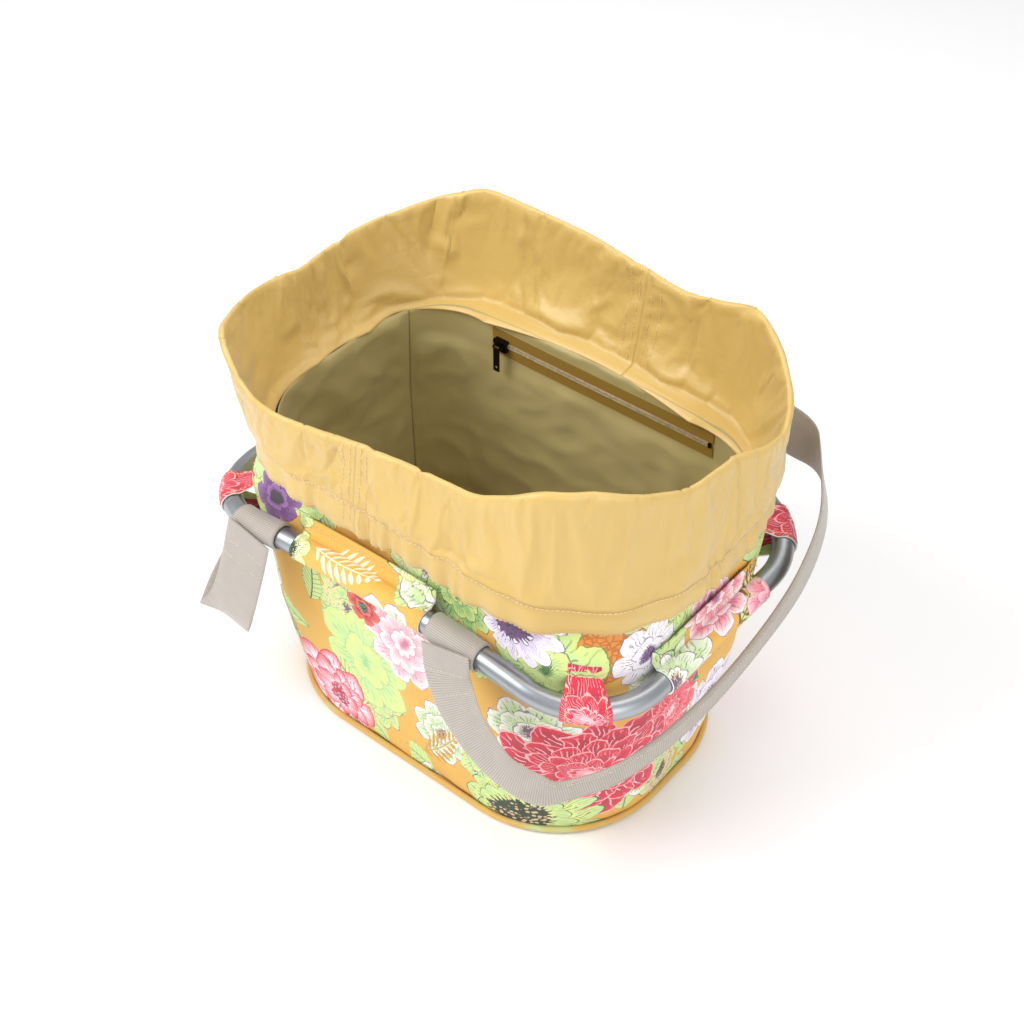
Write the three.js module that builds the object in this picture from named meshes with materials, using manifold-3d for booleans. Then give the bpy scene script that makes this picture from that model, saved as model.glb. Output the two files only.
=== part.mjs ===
// Handlebar basket: a soft printed bag hung in an aluminium tube ring, in millimetres.
// X runs along the long side, -Y is the front, +Y the handlebar side, +Z up.
// The origin is the centre of the underside of the base.
import * as THREE from 'three';
import { mergeVertices } from 'three/addons/utils/BufferGeometryUtils.js';
import ManifoldModule from 'manifold-3d';

const wasm = await ManifoldModule();
wasm.setup();
const { Manifold, Mesh: SolidMesh } = wasm;

// ---- driving dimensions -------------------------------------------------
const GAP = 0.35;               // clearance left between pieces that touch
const FABRIC_T = 3;             // printed cloth with its foam
const LINING_T = 1;
const WEB_W = 40;               // handle webbing
const WEB_T = 2;
const TUBE_D = 16;

const BASE_W = 304;
const BASE_D = 210;
const BASE_R = 85;
const WAIST_W = 336;            // bag at the height of the ring
const WAIST_D = 224;
const WAIST_R = 64;
const RIM_W = 330;
const RIM_D = 221;
const RIM_FRONT_R = 94;
const RIM_REAR_R = 74;
const RIM_Z = 236;
const RIM_ARCH = 14;            // the rim stands higher in the middle of the long sides

const RING_W = 358;             // tube centreline
const RING_D = 250;
const RING_R = 60;
const RING_Z = 171;
const RING_ARCH = 18;

const PIPING_D = 4.4;
const BOARD_T = 2.4;
const REAR_SPACE = 13;          // room between rear cloth and lining for the hardware
const LINING_R = 52;            // rear corners of the lining at the ring and above
const LINING_FOOT_R = 76;       // and at the floor

const COLLAR_T = 1.2;
const CUFF_DROP = 24;           // how far the turned-down cuff hangs below the rim
const CUFF_OUT = 9;             // how far the cuff stands off the bag
const SEAM_FRONT_X = -22;
const SEAM_REAR_X = 28;

const SLEEVE_T = 1.2;
const LOOP_T = 1.8;

const ZIP_X0 = -84;
const ZIP_X1 = 104;
const ZIP_Z = 230;

const PLATE_W = 112;
const PLATE_H = 78;
const PLATE_T = 4;
const SOCKET_W = 64;
const SOCKET_H = 56;
const SOCKET_D = 24;
const SCREW_D = 5;
const SCREW_X = 46;
const SCREW_S = 30;
const PLATE_S = 108;            // height of the plate's middle, along the wall

const HANDLE_R_X = 66;          // where the right handle hangs on the ring
const HANDLE_L_X = -112;

// ---- helpers ------------------------------------------------------------
const part = new THREE.Group();
part.name = 'handlebar_basket';

const COLOURS = {
  cloth: '#e2b558',
  lining: '#a89a66',
  nylon: '#deb85f',
  web: '#b2aaa3',
  metal: '#b9bcc0',
  steel: '#8c8f94',
  black: '#26262a',
  board: '#4a4a4c',
  bronze: '#4b4238',
};

const add = (name, geometry, colour, rough = 0.8, metal = 0) => {
  const material = new THREE.MeshStandardMaterial({
    color: COLOURS[colour],
    roughness: rough,
    metalness: metal,
  });
  material.name = name;
  const mesh = new THREE.Mesh(geometry, material);
  mesh.name = name;
  part.add(mesh);
};

// One closed body through a row of cross-sections. Each section is a loop of points
// that runs up one face of a strip and back down the other.
const loft = (sections, closed) => {
  const m = sections[0].length;
  const n = sections.length;
  const points = sections.flat();
  const index = [];
  const rows = closed ? n : n - 1;
  for (let i = 0; i < rows; i += 1) {
    const a = i * m;
    const b = ((i + 1) % n) * m;
    for (let j = 0; j < m; j += 1) {
      const k = (j + 1) % m;
      index.push(a + j, b + j, b + k, a + j, b + k, a + k);
    }
  }
  if (!closed) {
    const z = (n - 1) * m;
    for (let j = 0; j < m / 2 - 1; j += 1) {
      const q = m - 1 - j;
      index.push(j, j + 1, q - 1, j, q - 1, q);
      index.push(z + j, z + q - 1, z + j + 1, z + j, z + q, z + q - 1);
    }
  }
  let volume = 0;
  for (let t = 0; t < index.length; t += 3) {
    const [p, q, r] = [points[index[t]], points[index[t + 1]], points[index[t + 2]]];
    volume += p.dot(q.clone().cross(r));
  }
  if (volume < 0) index.reverse();
  const geometry = new THREE.BufferGeometry().setFromPoints(points);
  geometry.setIndex(index);
  geometry.computeVertexNormals();
  return geometry;
};

const solid = (geometry) => {
  const bare = geometry.clone();
  bare.deleteAttribute('uv');
  bare.deleteAttribute('normal');
  const merged = mergeVertices(bare, 1e-4);
  return new Manifold(new SolidMesh({
    numProp: 3,
    vertProperties: new Float32Array(merged.attributes.position.array),
    triVerts: new Uint32Array(merged.index.array),
  }));
};

const toGeometry = (body) => {
  const mesh = body.getMesh();
  const geometry = new THREE.BufferGeometry();
  geometry.setAttribute('position', new THREE.BufferAttribute(mesh.vertProperties, 3));
  geometry.setIndex(new THREE.BufferAttribute(mesh.triVerts, 1));
  geometry.computeVertexNormals();
  return geometry;
};

const box = (x0, x1, y0, y1, z0, z1) => {
  const geometry = new THREE.BoxGeometry(x1 - x0, y1 - y0, z1 - z0);
  geometry.translate((x0 + x1) / 2, (y0 + y1) / 2, (z0 + z1) / 2);
  return geometry;
};

// A round bar along +Y from y0 to y1.
const bar = (x, z, r, y0, y1, sides = 16) => {
  const geometry = new THREE.CylinderGeometry(r, r, y1 - y0, sides);
  geometry.translate(x, (y0 + y1) / 2, z);
  return geometry;
};

const cut = (body, tools) => {
  let left = solid(body);
  for (const tool of tools) left = left.subtract(solid(tool));
  return toGeometry(left);
};

const lerp = THREE.MathUtils.lerp;

// Rounded rectangle walked in fixed stations: rear side 0-8, corner 8-16, right side
// 16-20, corner 20-28, front side 28-36, corner 36-44, left side 44-48, corner 48-56.
const STATIONS = 56;
const walk = (s, u) => {
  const v = ((u % STATIONS) + STATIONS) % STATIONS;
  const y = s.yc ?? 0;
  const ax = s.w / 2;
  const ay = s.d / 2;
  const { rr, rf } = s;
  const side = (x0, y0, x1, y1, t, nx, ny) => ({
    x: lerp(x0, x1, t),
    y: lerp(y0, y1, t) + y,
    nx,
    ny,
  });
  const corner = (cx, cy, r, from, t) => {
    const a = from - t * Math.PI / 2;
    return {
      x: cx + r * Math.cos(a),
      y: cy + r * Math.sin(a) + y,
      nx: Math.cos(a),
      ny: Math.sin(a),
    };
  };
  if (v < 8) return side(-(ax - rr), ay, ax - rr, ay, v / 8, 0, 1);
  if (v < 16) return corner(ax - rr, ay - rr, rr, Math.PI / 2, (v - 8) / 8);
  if (v < 20) return side(ax, ay - rr, ax, -(ay - rf), (v - 16) / 4, 1, 0);
  if (v < 28) return corner(ax - rf, -(ay - rf), rf, 0, (v - 20) / 8);
  if (v < 36) return side(ax - rf, -ay, -(ax - rf), -ay, (v - 28) / 8, 0, -1);
  if (v < 44) return corner(-(ax - rf), -(ay - rf), rf, -Math.PI / 2, (v - 36) / 8);
  if (v < 48) return side(-ax, -(ay - rf), -ax, ay - rr, (v - 44) / 4, -1, 0);
  return corner(-(ax - rr), ay - rr, rr, Math.PI, (v - 48) / 8);
};

const mix = (a, b, t) => ({
  w: lerp(a.w, b.w, t),
  d: lerp(a.d, b.d, t),
  rf: lerp(a.rf, b.rf, t),
  rr: lerp(a.rr, b.rr, t),
  yc: lerp(a.yc ?? 0, b.yc ?? 0, t),
});

const inset = (s, t) => ({
  w: s.w - 2 * t,
  d: s.d - 2 * t,
  rf: s.rf - t,
  rr: s.rr - t,
  yc: s.yc ?? 0,
});

const range = (from, to, count) => Array.from(
  { length: count + 1 },
  (_, i) => lerp(from, to, i / count),
);

const shape = (w, d, r) => ({ w, d, rf: r, rr: r, yc: 0 });
const BASE = shape(BASE_W, BASE_D, BASE_R);
const WAIST = shape(WAIST_W, WAIST_D, WAIST_R);
const RIM = { w: RIM_W, d: RIM_D, rf: RIM_FRONT_R, rr: RIM_REAR_R, yc: 0 };
const RING = shape(RING_W, RING_D, RING_R);

// Outer face of the printed cloth at a height.
const bagAt = (z) => (z < RING_Z
  ? mix(BASE, WAIST, z / RING_Z)
  : mix(WAIST, RIM, (z - RING_Z) / (RIM_Z + RIM_ARCH - RING_Z)));

// Outer face of the lining: close to the cloth at the front and sides, standing off
// at the rear, upright above the ring so that the zip lies flat.
const liningAt = (z) => {
  const s = inset(bagAt(z), FABRIC_T + GAP + 0.3);
  const rear = Math.min(WAIST_D / 2 - (RING_Z - Math.min(z, RING_Z)) * WALL_SLOPE,
    WAIST_D / 2) - FABRIC_T - REAR_SPACE;
  const front = -s.d / 2;
  const rr = lerp(LINING_FOOT_R, LINING_R, Math.min(z / RING_Z, 1));
  return { w: s.w - 2, d: rear - front, rf: s.rf, rr, yc: (rear + front) / 2 };
};

const WALL_SLOPE = (WAIST_D - BASE_D) / 2 / RING_Z;
const archAt = (x, width, height) => height * (1 - (2 * x / width) ** 2);
const rimZ = (x) => RIM_Z + archAt(x, RIM_W, RIM_ARCH);
const tubeZ = (x) => RING_Z + archAt(x, RING_W, RING_ARCH);

// A wall of cloth: outer face up, inner face down, over stations u0..u1.
const wall = (at, thickness, heights, u0, u1, count, closed) => {
  const stations = range(u0, u1, count);
  if (closed) stations.pop();
  const sections = stations.map((u) => {
    const top = rimZ(walk(at(RIM_Z), u).x);
    const zs = heights.map((h) => (h === null ? top : h));
    const face = (z, t) => {
      const p = walk(inset(at(z), t), u);
      return new THREE.Vector3(p.x, p.y, z);
    };
    const outer = zs.map((z) => face(z, 0));
    const inner = zs.map((z) => face(z, thickness)).reverse();
    return [...outer, ...inner];
  });
  return loft(sections, closed);
};

// A flat panel cut to a rounded rectangle.
const panel = (s, z0, z1) => {
  const outline = new THREE.Shape(
    range(0, STATIONS, STATIONS).slice(0, -1).map((u) => {
      const p = walk(s, u);
      return new THREE.Vector2(p.x, p.y);
    }),
  );
  const geometry = new THREE.ExtrudeGeometry(outline, {
    depth: z1 - z0,
    bevelEnabled: false,
  });
  geometry.translate(0, 0, z0);
  return geometry;
};

// A round cord or tube that follows a closed rounded rectangle.
const roundRun = (s, radius, height, count, sides) => loft(
  range(0, STATIONS, count).slice(0, -1).map((u) => {
    const p = walk(s, u);
    const z = height(p.x);
    return range(0, 2 * Math.PI, sides).slice(0, -1).map((a) => new THREE.Vector3(
      p.x + p.nx * radius * Math.cos(a),
      p.y + p.ny * radius * Math.cos(a),
      z + radius * Math.sin(a),
    ));
  }),
  true,
);

// Distance from a point outside the bag, straight inwards, to the cloth at height z.
const reach = (x, y, nx, ny, z) => {
  let best = Infinity;
  const s = bagAt(z);
  for (let u = 0; u < STATIONS; u += 1) {
    const a = walk(s, u);
    const b = walk(s, u + 1);
    const ex = b.x - a.x;
    const ey = b.y - a.y;
    const det = -nx * -ey + ny * -ex;
    const t = ((a.x - x) * -ey - (a.y - y) * -ex) / det;
    const k = (-nx * (a.y - y) + ny * (a.x - x)) / det;
    if (t > 0 && k >= -1e-9 && k <= 1 + 1e-9) best = Math.min(best, t);
  }
  return best;
};

// A strip of given thickness along a flat path of [outward, up] pairs.
const strip = (path, thickness) => {
  const side = (sign) => path.map(([o, h], i) => {
    const [a, b] = [path[Math.max(i - 1, 0)], path[Math.min(i + 1, path.length - 1)]];
    const len = Math.hypot(b[0] - a[0], b[1] - a[1]);
    return [
      o - sign * thickness / 2 * (b[1] - a[1]) / len,
      h + sign * thickness / 2 * (b[0] - a[0]) / len,
    ];
  });
  return [...side(1), ...side(-1).reverse()];
};

// Cloth sleeve sewn to the bag above and below the tube and passing round it.
const sleeve = (u0, u1, count, flange) => loft(range(u0, u1, count).map((u) => {
  const p = walk(RING, u);
  const z = tubeZ(p.x);
  const r = TUBE_D / 2 + GAP + SLEEVE_T / 2;
  const back = (h) => -(reach(p.x, p.y, p.nx, p.ny, z + h) - SLEEVE_T / 2 - 1);
  const high = [flange + 7, flange].map((h) => [back(h), h]);
  const low = [-flange, -flange - 7].map((h) => [back(h), h]);
  const round = range(112, -112, 8).map((a) => {
    const t = THREE.MathUtils.degToRad(a);
    return [r * Math.cos(t), r * Math.sin(t)];
  });
  return strip([...high, ...round, ...low], SLEEVE_T).map(([o, h]) => new THREE.Vector3(
    p.x + p.nx * o,
    p.y + p.ny * o,
    z + h,
  ));
}), false);

// Station reached by going a distance along the tube from station u.
const stationLength = (v) => {
  const k = ((v % STATIONS) + STATIONS) % STATIONS;
  if (k < 8 || (k >= 28 && k < 36)) return (RING_W - 2 * RING_R) / 8;
  if ((k >= 16 && k < 20) || (k >= 44 && k < 48)) return (RING_D - 2 * RING_R) / 4;
  return RING_R * Math.PI / 16;
};
const alongRing = (u, distance) => {
  let v = u;
  let rest = Math.abs(distance);
  const way = Math.sign(distance);
  while (rest > 1e-6) {
    const cell = way > 0 ? Math.floor(v + 1e-9) : Math.ceil(v - 1e-9) - 1;
    const edge = way > 0 ? cell + 1 : cell;
    const length = stationLength(cell);
    const step = Math.min(Math.abs(edge - v) * length, rest);
    v += way * step / length;
    rest -= step;
    if (step < 1e-6) v = edge + way * 1e-7;
  }
  return v;
};
const frontU = (x) => 28 + 8 * ((RING_W / 2 - RING_R) - x) / (RING_W - 2 * RING_R);
const rearU = (x) => 8 * ((RING_W / 2 - RING_R) + x) / (RING_W - 2 * RING_R);

// End of a handle strap, folded round the tube and sewn to itself.
const strapLoop = (u) => {
  const inner = TUBE_D / 2 + GAP + 0.15;
  const outer = inner + LOOP_T;
  const places = range(-WEB_W / 2, WEB_W / 2, 4).map((d) => walk(RING, alongRing(u, d)));
  const at = (p, r, a) => new THREE.Vector3(
    p.x + p.nx * r * Math.cos(a),
    p.y + p.ny * r * Math.cos(a),
    tubeZ(p.x) + r * Math.sin(a),
  );
  return loft(range(0, 2 * Math.PI, 12).slice(0, -1).map((a) => [
    ...places.map((p) => at(p, outer, a)),
    ...places.map((p) => at(p, inner, a)).reverse(),
  ]), true);
};

// Webbing along a curve. Each knot is [x, y, z, across x, y, z, width, thickness].
const webbing = (knots, count) => {
  const curve = new THREE.CatmullRomCurve3(
    knots.map((k) => new THREE.Vector3(k[0], k[1], k[2])),
    false,
    'centripetal',
  );
  const at = (t, c) => {
    const s = t * (knots.length - 1);
    const i = Math.min(Math.floor(s), knots.length - 2);
    const f = s - i;
    return lerp(knots[i][c], knots[i + 1][c], f * f * (3 - 2 * f));
  };
  return loft(range(0, 1, count).map((t) => {
    const centre = curve.getPoint(t);
    const along = curve.getTangent(t);
    const across = new THREE.Vector3(at(t, 3), at(t, 4), at(t, 5));
    across.addScaledVector(along, -across.dot(along)).normalize();
    const up = across.clone().cross(along).multiplyScalar(at(t, 7) / 2);
    const half = across.multiplyScalar(at(t, 6) / 2);
    const corner = (a, b) => centre.clone().addScaledVector(half, a).addScaledVector(up, b);
    return [corner(-1, 1), corner(0, 1), corner(1, 1), corner(1, -1), corner(0, -1), corner(-1, -1)];
  }), false);
};

// ---- ring ---------------------------------------------------------------
add('frame_ring', roundRun(RING, TUBE_D / 2, tubeZ, 84, 10), 'metal', 0.35, 1);

// ---- printed bag --------------------------------------------------------
const WALL_Z = [FABRIC_T + GAP, 60, 120, RING_Z, 205, null];
const REAR_U0 = -5;
const REAR_U1 = 13;
const SEAM = 0.03;
const screwSpots = [-1, 1].flatMap((i) => [-1, 1].map((k) => [i * SCREW_X, k * SCREW_S]));

// Hardware on the rear wall is drawn upright, then leant over to lie on the wall.
const tilt = Math.atan(WALL_SLOPE);
const lean = (geometry) => {
  geometry.rotateX(-tilt);
  geometry.translate(0, BASE_D / 2, 0);
  return geometry;
};
const screwHoles = (r, y0, y1) => screwSpots.map(([x, s]) => lean(
  bar(x, PLATE_S + s, r, y0, y1),
));

add('shell_wrap', wall(
  bagAt,
  FABRIC_T,
  WALL_Z,
  REAR_U1 + SEAM,
  STATIONS + REAR_U0 - SEAM,
  44,
  false,
), 'cloth');
add('shell_rear', cut(wall(bagAt, FABRIC_T, WALL_Z, REAR_U0, REAR_U1, 18, false),
  screwHoles(SCREW_D / 2 + GAP, -12, 12)), 'cloth');
add('shell_base', panel(BASE, 0, FABRIC_T), 'cloth');
add('base_piping', roundRun(
  inset(BASE, -(PIPING_D / 2 + GAP + 0.5)),
  PIPING_D / 2,
  () => PIPING_D / 2 + 0.6,
  56,
  8,
), 'cloth', 0.6);

// ---- inner boards and lining --------------------------------------------
const FLOOR = inset(bagAt(0), FABRIC_T + 2);
const boardZ = FABRIC_T + GAP;
add('base_board', panel(inset(FLOOR, 1), boardZ, boardZ + BOARD_T), 'board');
const floorZ = boardZ + BOARD_T + GAP;
const liningFloor = liningAt(floorZ);
add('lining_base', panel(inset(liningFloor, 1), floorZ, floorZ + LINING_T), 'lining');

const LINING_Z = [floorZ + LINING_T + GAP, 60, 120, RING_Z, 205, null];
add('lining_wrap', wall(liningAt, LINING_T, LINING_Z, REAR_U1 + SEAM,
  STATIONS + REAR_U0 - SEAM, 44, false), 'lining');
const liningRearY = WAIST_D / 2 - FABRIC_T - REAR_SPACE;
add('lining_rear', cut(wall(liningAt, LINING_T, LINING_Z, REAR_U0, REAR_U1, 18, false), [
  box(ZIP_X0 - 1, ZIP_X1 + 1, liningRearY - 6, liningRearY + 6, ZIP_Z - 3.2, ZIP_Z + 3.2),
]), 'lining');

const BOARD_H = 150;
const stiffY = -FABRIC_T - GAP;
add('rear_stiffener', cut(
  lean(box(-62, 62, stiffY - 2, stiffY, PLATE_S - BOARD_H / 2, PLATE_S + BOARD_H / 2 - 24)),
  screwHoles(SCREW_D / 2 + GAP, -12, 12),
), 'board');
const backY = -FABRIC_T - 2 - 2 * GAP;
add('backing_plate', cut(
  lean(box(-PLATE_W / 2, PLATE_W / 2, backY - 1.5, backY, PLATE_S - PLATE_H / 2, PLATE_S + PLATE_H / 2)),
  screwHoles(SCREW_D / 2 + GAP, -12, 12),
), 'steel', 0.5, 1);

// ---- zip pocket ---------------------------------------------------------
// The bag of the pocket hangs behind the lining and opens at the zip.
const bagY0 = liningRearY + GAP;
add('pocket_bag', cut(box(-84, 104, bagY0, bagY0 + 4.6, 160, 243), [
  box(-83, 103, bagY0 + 0.8, bagY0 + 3.8, 161, 242),
  box(-82, 102, bagY0 - 1, bagY0 + 2, ZIP_Z - 3.2, ZIP_Z + 3.2),
]), 'lining');

const faceY = liningRearY - LINING_T;
const tapeY = faceY - GAP;
for (const [name, z0, z1] of [['upper', 1.9, 10.5], ['lower', -10.5, -1.9]]) {
  add(`zip_tape_${name}`, box(ZIP_X0 - 4, ZIP_X1 + 4, tapeY - 0.8, tapeY, ZIP_Z + z0, ZIP_Z + z1),
    'bronze');
}
for (const [name, z0, z1] of [['upper', 0.15, 1.55], ['lower', -1.55, -0.15]]) {
  add(`zip_coil_${name}`, box(ZIP_X0, ZIP_X1, tapeY - 2.2, tapeY, ZIP_Z + z0, ZIP_Z + z1), 'bronze',
    0.5, 0.4);
}
for (const [name, x] of [['left', ZIP_X0 - 2.6], ['right', ZIP_X1 + 0.4]]) {
  add(`zip_stop_${name}`, box(x, x + 2.2, tapeY - 2.4, tapeY, ZIP_Z - 1.7, ZIP_Z + 1.7), 'bronze',
    0.4, 0.9);
}
const SLIDER_L = 11;
const sliderX = ZIP_X0 + 0.6 + SLIDER_L / 2;
const sliderY = tapeY - 0.8 - GAP;
const bailY = sliderY - 6.4;
const post = (x) => solid(box(x - 0.6, x + 0.6, bailY - 0.9, sliderY - 3, ZIP_Z - 0.9, ZIP_Z + 0.9));
const bailBar = new THREE.CylinderGeometry(0.7, 0.7, 7, 12);
bailBar.rotateZ(Math.PI / 2);
bailBar.translate(sliderX, bailY, ZIP_Z);
add('zip_slider', toGeometry(
  solid(box(sliderX - SLIDER_L / 2, sliderX + SLIDER_L / 2, sliderY - 4, sliderY, ZIP_Z - 4.6, ZIP_Z + 4.6))
    .subtract(solid(box(sliderX - 9, sliderX + 9, sliderY - 1.6, sliderY + 1, ZIP_Z - 2, ZIP_Z + 2)))
    .add(post(sliderX - 3.6))
    .add(post(sliderX + 3.6))
    .add(solid(bailBar)),
), 'bronze', 0.4, 0.9);
const knuckle = (r) => {
  const geometry = new THREE.CylinderGeometry(r, r, r < 1.2 ? 9 : 5.2, 14);
  geometry.rotateZ(Math.PI / 2);
  geometry.translate(sliderX, bailY, ZIP_Z);
  return solid(geometry);
};
const PULL_L = 20;
add('zip_puller', toGeometry(
  knuckle(1.9)
    .add(solid(box(sliderX - 2.6, sliderX + 2.6, bailY - 1.9, bailY - 0.7, ZIP_Z - PULL_L, ZIP_Z)))
    .subtract(knuckle(1.1))
    .subtract(solid(bar(sliderX, ZIP_Z - PULL_L + 3.4, 1.4, bailY - 4, bailY + 2, 12))),
), 'bronze', 0.4, 0.9);

// ---- mounting hardware on the rear wall ---------------------------------
const plateY = GAP;
add('mount_plate', (() => {
  const s0 = PLATE_S - PLATE_H / 2;
  const s1 = PLATE_S + PLATE_H / 2;
  const socketTop = PLATE_S + SOCKET_H / 2;
  const floorY = plateY + PLATE_T + 2;
  const body = solid(box(-PLATE_W / 2, PLATE_W / 2, plateY, plateY + PLATE_T, s0, s1))
    .add(solid(box(-SOCKET_W / 2, SOCKET_W / 2, plateY, plateY + SOCKET_D, socketTop - SOCKET_H, socketTop)))
    .subtract(solid(box(-22, 22, floorY, plateY + SOCKET_D - 4, s0 - 5, socketTop - 4)))
    .subtract(solid(box(-14, 14, floorY, plateY + SOCKET_D + 4, s0 - 5, socketTop - 10)));
  return cut(lean(toGeometry(body)), screwHoles(SCREW_D / 2 + GAP, -12, 12));
})(), 'black', 0.6);
screwSpots.forEach(([x, s], i) => {
  const z = PLATE_S + s;
  const top = plateY + PLATE_T + GAP;
  const end = backY - 1.5 - 5.2;
  const shank = solid(bar(x, z, SCREW_D / 2, end, top + 1));
  const head = solid(bar(x, z, 4.5, top, top + 3));
  const hex = solid(bar(x, z, 1.5, top + 1, top + 5, 6));
  add(`mount_screw_${i + 1}`, lean(toGeometry(shank.add(head).subtract(hex))), 'steel', 0.4, 1);
  const nutTop = backY - 1.5 - GAP;
  const nut = solid(bar(x, z, 4.6, nutTop - 4, nutTop, 6));
  add(`mount_nut_${i + 1}`, lean(toGeometry(nut.subtract(solid(bar(x, z, SCREW_D / 2 + 0.3, end - 2, top))))),
    'steel', 0.4, 1);
});

// ---- sleeves and loops that hold the bag on the ring --------------------
add('tunnel_front', sleeve(frontU(40), frontU(-76), 5, 13), 'cloth');
add('tunnel_rear', sleeve(rearU(-76), rearU(40), 5, 13), 'cloth');
add('tunnel_right', sleeve(16.4, 19.8, 8, 13), 'cloth');
add('tunnel_left', sleeve(44.2, 47.6, 8, 13), 'cloth');
for (const [name, u] of [['rear_right', 12], ['front_right', 24.4], ['front_left', 40], ['rear_left', 52]]) {
  add(`corner_loop_${name}`, sleeve(u - 1.25, u + 1.25, 3, 13), 'cloth');
}

// ---- collar -------------------------------------------------------------
// Thin nylon sewn on at the rim, standing up, then folded outwards into a deep cuff.
const FOLD_Z = [325, 334, 306, 322, 302, 300, 304, 332];
const foldAt = (u) => {
  const s = ((u - 4) / 7 + 8) % 8;
  const i = Math.floor(s);
  const f = s - i;
  return lerp(FOLD_Z[i], FOLD_Z[(i + 1) % 8], f * f * (3 - 2 * f));
};
const collar = (u0, u1, count) => loft(range(u0, u1, count).map((u) => {
  const foot = walk(bagAt(RIM_Z), u);
  const base = rimZ(foot.x) + GAP + 0.2;
  const fold = foldAt(u);
  const path = [
    [-1.9, base],
    [-1.9, base + 3],
    [-0.5, lerp(base, fold, 0.45)],
    [1.5, fold - 9],
    [4, fold - 3],
    [6.5, fold - 1],
    [9, fold - 3],
    [CUFF_OUT + 2.5, fold - 9],
    [CUFF_OUT + 3, lerp(base, fold, 0.35)],
    [CUFF_OUT + 1, base - 3],
    [CUFF_OUT - 2, base - CUFF_DROP + 4],
    [CUFF_OUT - 3.5, base - CUFF_DROP],
  ];
  return strip(path, COLLAR_T).map(([o, z]) => new THREE.Vector3(
    foot.x + foot.nx * o,
    foot.y + foot.ny * o,
    z,
  ));
}), false);
const frontSeam = 28 + 8 * ((RIM_W / 2 - RIM_FRONT_R) - SEAM_FRONT_X) / (RIM_W - 2 * RIM_FRONT_R);
const rearSeam = 8 * ((RIM_W / 2 - RIM_REAR_R) + SEAM_REAR_X) / (RIM_W - 2 * RIM_REAR_R);
add('collar_right', collar(rearSeam + 0.02, frontSeam - 0.02, 24), 'nylon', 0.45);
add('collar_left', collar(frontSeam + 0.02, STATIONS + rearSeam - 0.02, 24), 'nylon', 0.45);

// ---- handles ------------------------------------------------------------
for (const [side, x] of [['left', HANDLE_L_X], ['right', HANDLE_R_X]]) {
  add(`handle_loop_${side}_front`, strapLoop(frontU(x)), 'web');
  add(`handle_loop_${side}_rear`, strapLoop(rearU(x)), 'web');
}
const outY = RING_D / 2 + TUBE_D / 2 + GAP + 0.15 + LOOP_T + GAP + 0.9 + WEB_T / 2;
const rightZ = tubeZ(HANDLE_R_X);
const leftZ = tubeZ(HANDLE_L_X);
const GRIP_W = WEB_W / 2;
const GRIP_T = 2 * WEB_T;
add('handle_right', webbing([
  [HANDLE_R_X, -outY, rightZ + 3, 1, 0, 0, WEB_W, WEB_T],
  [HANDLE_R_X + 5, -outY - 3, rightZ - 18, 1, 0, 0.1, WEB_W, WEB_T],
  [HANDLE_R_X + 24, -outY - 9, 146, 0.9, 0, 0.4, WEB_W, WEB_T],
  [HANDLE_R_X + 54, -outY - 12, 124, 0.65, 0, 0.75, WEB_W - 6, WEB_T],
  [HANDLE_R_X + 88, -outY - 4, 118, 0.3, 0.2, 0.95, GRIP_W + 4, WEB_T + 1],
  [HANDLE_R_X + 118, -106, 127, 0, 0.1, 1, GRIP_W, GRIP_T],
  [HANDLE_R_X + 130, -40, 134, 0, 0, 1, GRIP_W, GRIP_T],
  [HANDLE_R_X + 132, 30, 149, 0, 0, 1, GRIP_W, GRIP_T],
  [HANDLE_R_X + 130, 82, 172, 0, -0.3, 1, GRIP_W + 6, WEB_T + 1],
  [HANDLE_R_X + 118, 122, 196, 0, -0.4, 1, WEB_W - 8, WEB_T],
  [HANDLE_R_X + 90, outY + 10, 217, -0.3, 0, 0.95, WEB_W, WEB_T],
  [HANDLE_R_X + 50, outY + 10, 226, -0.3, 0, 1, WEB_W, WEB_T],
  [HANDLE_R_X + 14, outY + 4, 212, -0.8, 0, 0.6, WEB_W, WEB_T],
  [HANDLE_R_X + 2, outY + 0.4, rightZ + 8, -0.98, 0, 0.2, WEB_W, WEB_T],
  [HANDLE_R_X, outY + 0.3, rightZ - 1, -0.98, 0, 0.2, WEB_W, WEB_T],
], 40), 'web', 0.85);
add('handle_left', webbing([
  [HANDLE_L_X, -outY, leftZ + 3, -1, 0, 0, WEB_W, WEB_T],
  [HANDLE_L_X - 6, -outY - 4, 158, -1, 0, 0, WEB_W, WEB_T],
  [HANDLE_L_X - 18, -outY - 8, 124, -1, 0, 0.05, WEB_W, WEB_T],
  [HANDLE_L_X - 32, -outY - 6, 98, -1, 0, 0.1, WEB_W, WEB_T],
  [HANDLE_L_X - 50, -130, 88, -1, 0, 0.3, WEB_W - 4, WEB_T],
  [HANDLE_L_X - 68, -104, 94, -0.8, 0, 0.7, GRIP_W + 8, WEB_T + 1],
  [HANDLE_L_X - 80, -58, 112, -0.2, 0, 1, GRIP_W, GRIP_T],
  [HANDLE_L_X - 83, 0, 124, 0, 0, 1, GRIP_W, GRIP_T],
  [HANDLE_L_X - 79, 58, 126, 0, 0, 1, GRIP_W, GRIP_T],
  [HANDLE_L_X - 60, 112, 122, -0.1, 0, 1, GRIP_W + 4, WEB_T + 1],
  [HANDLE_L_X - 30, outY + 8, 128, -0.6, 0, 0.8, WEB_W - 4, WEB_T],
  [HANDLE_L_X - 8, outY + 6, 150, -0.95, 0, 0.3, WEB_W, WEB_T],
  [HANDLE_L_X, outY, leftZ + 1, -1, 0, 0, WEB_W, WEB_T],
], 36), 'web', 0.85);

export default part;
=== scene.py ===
import math

import bmesh
import bpy
import numpy as np
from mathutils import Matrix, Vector, noise


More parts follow.
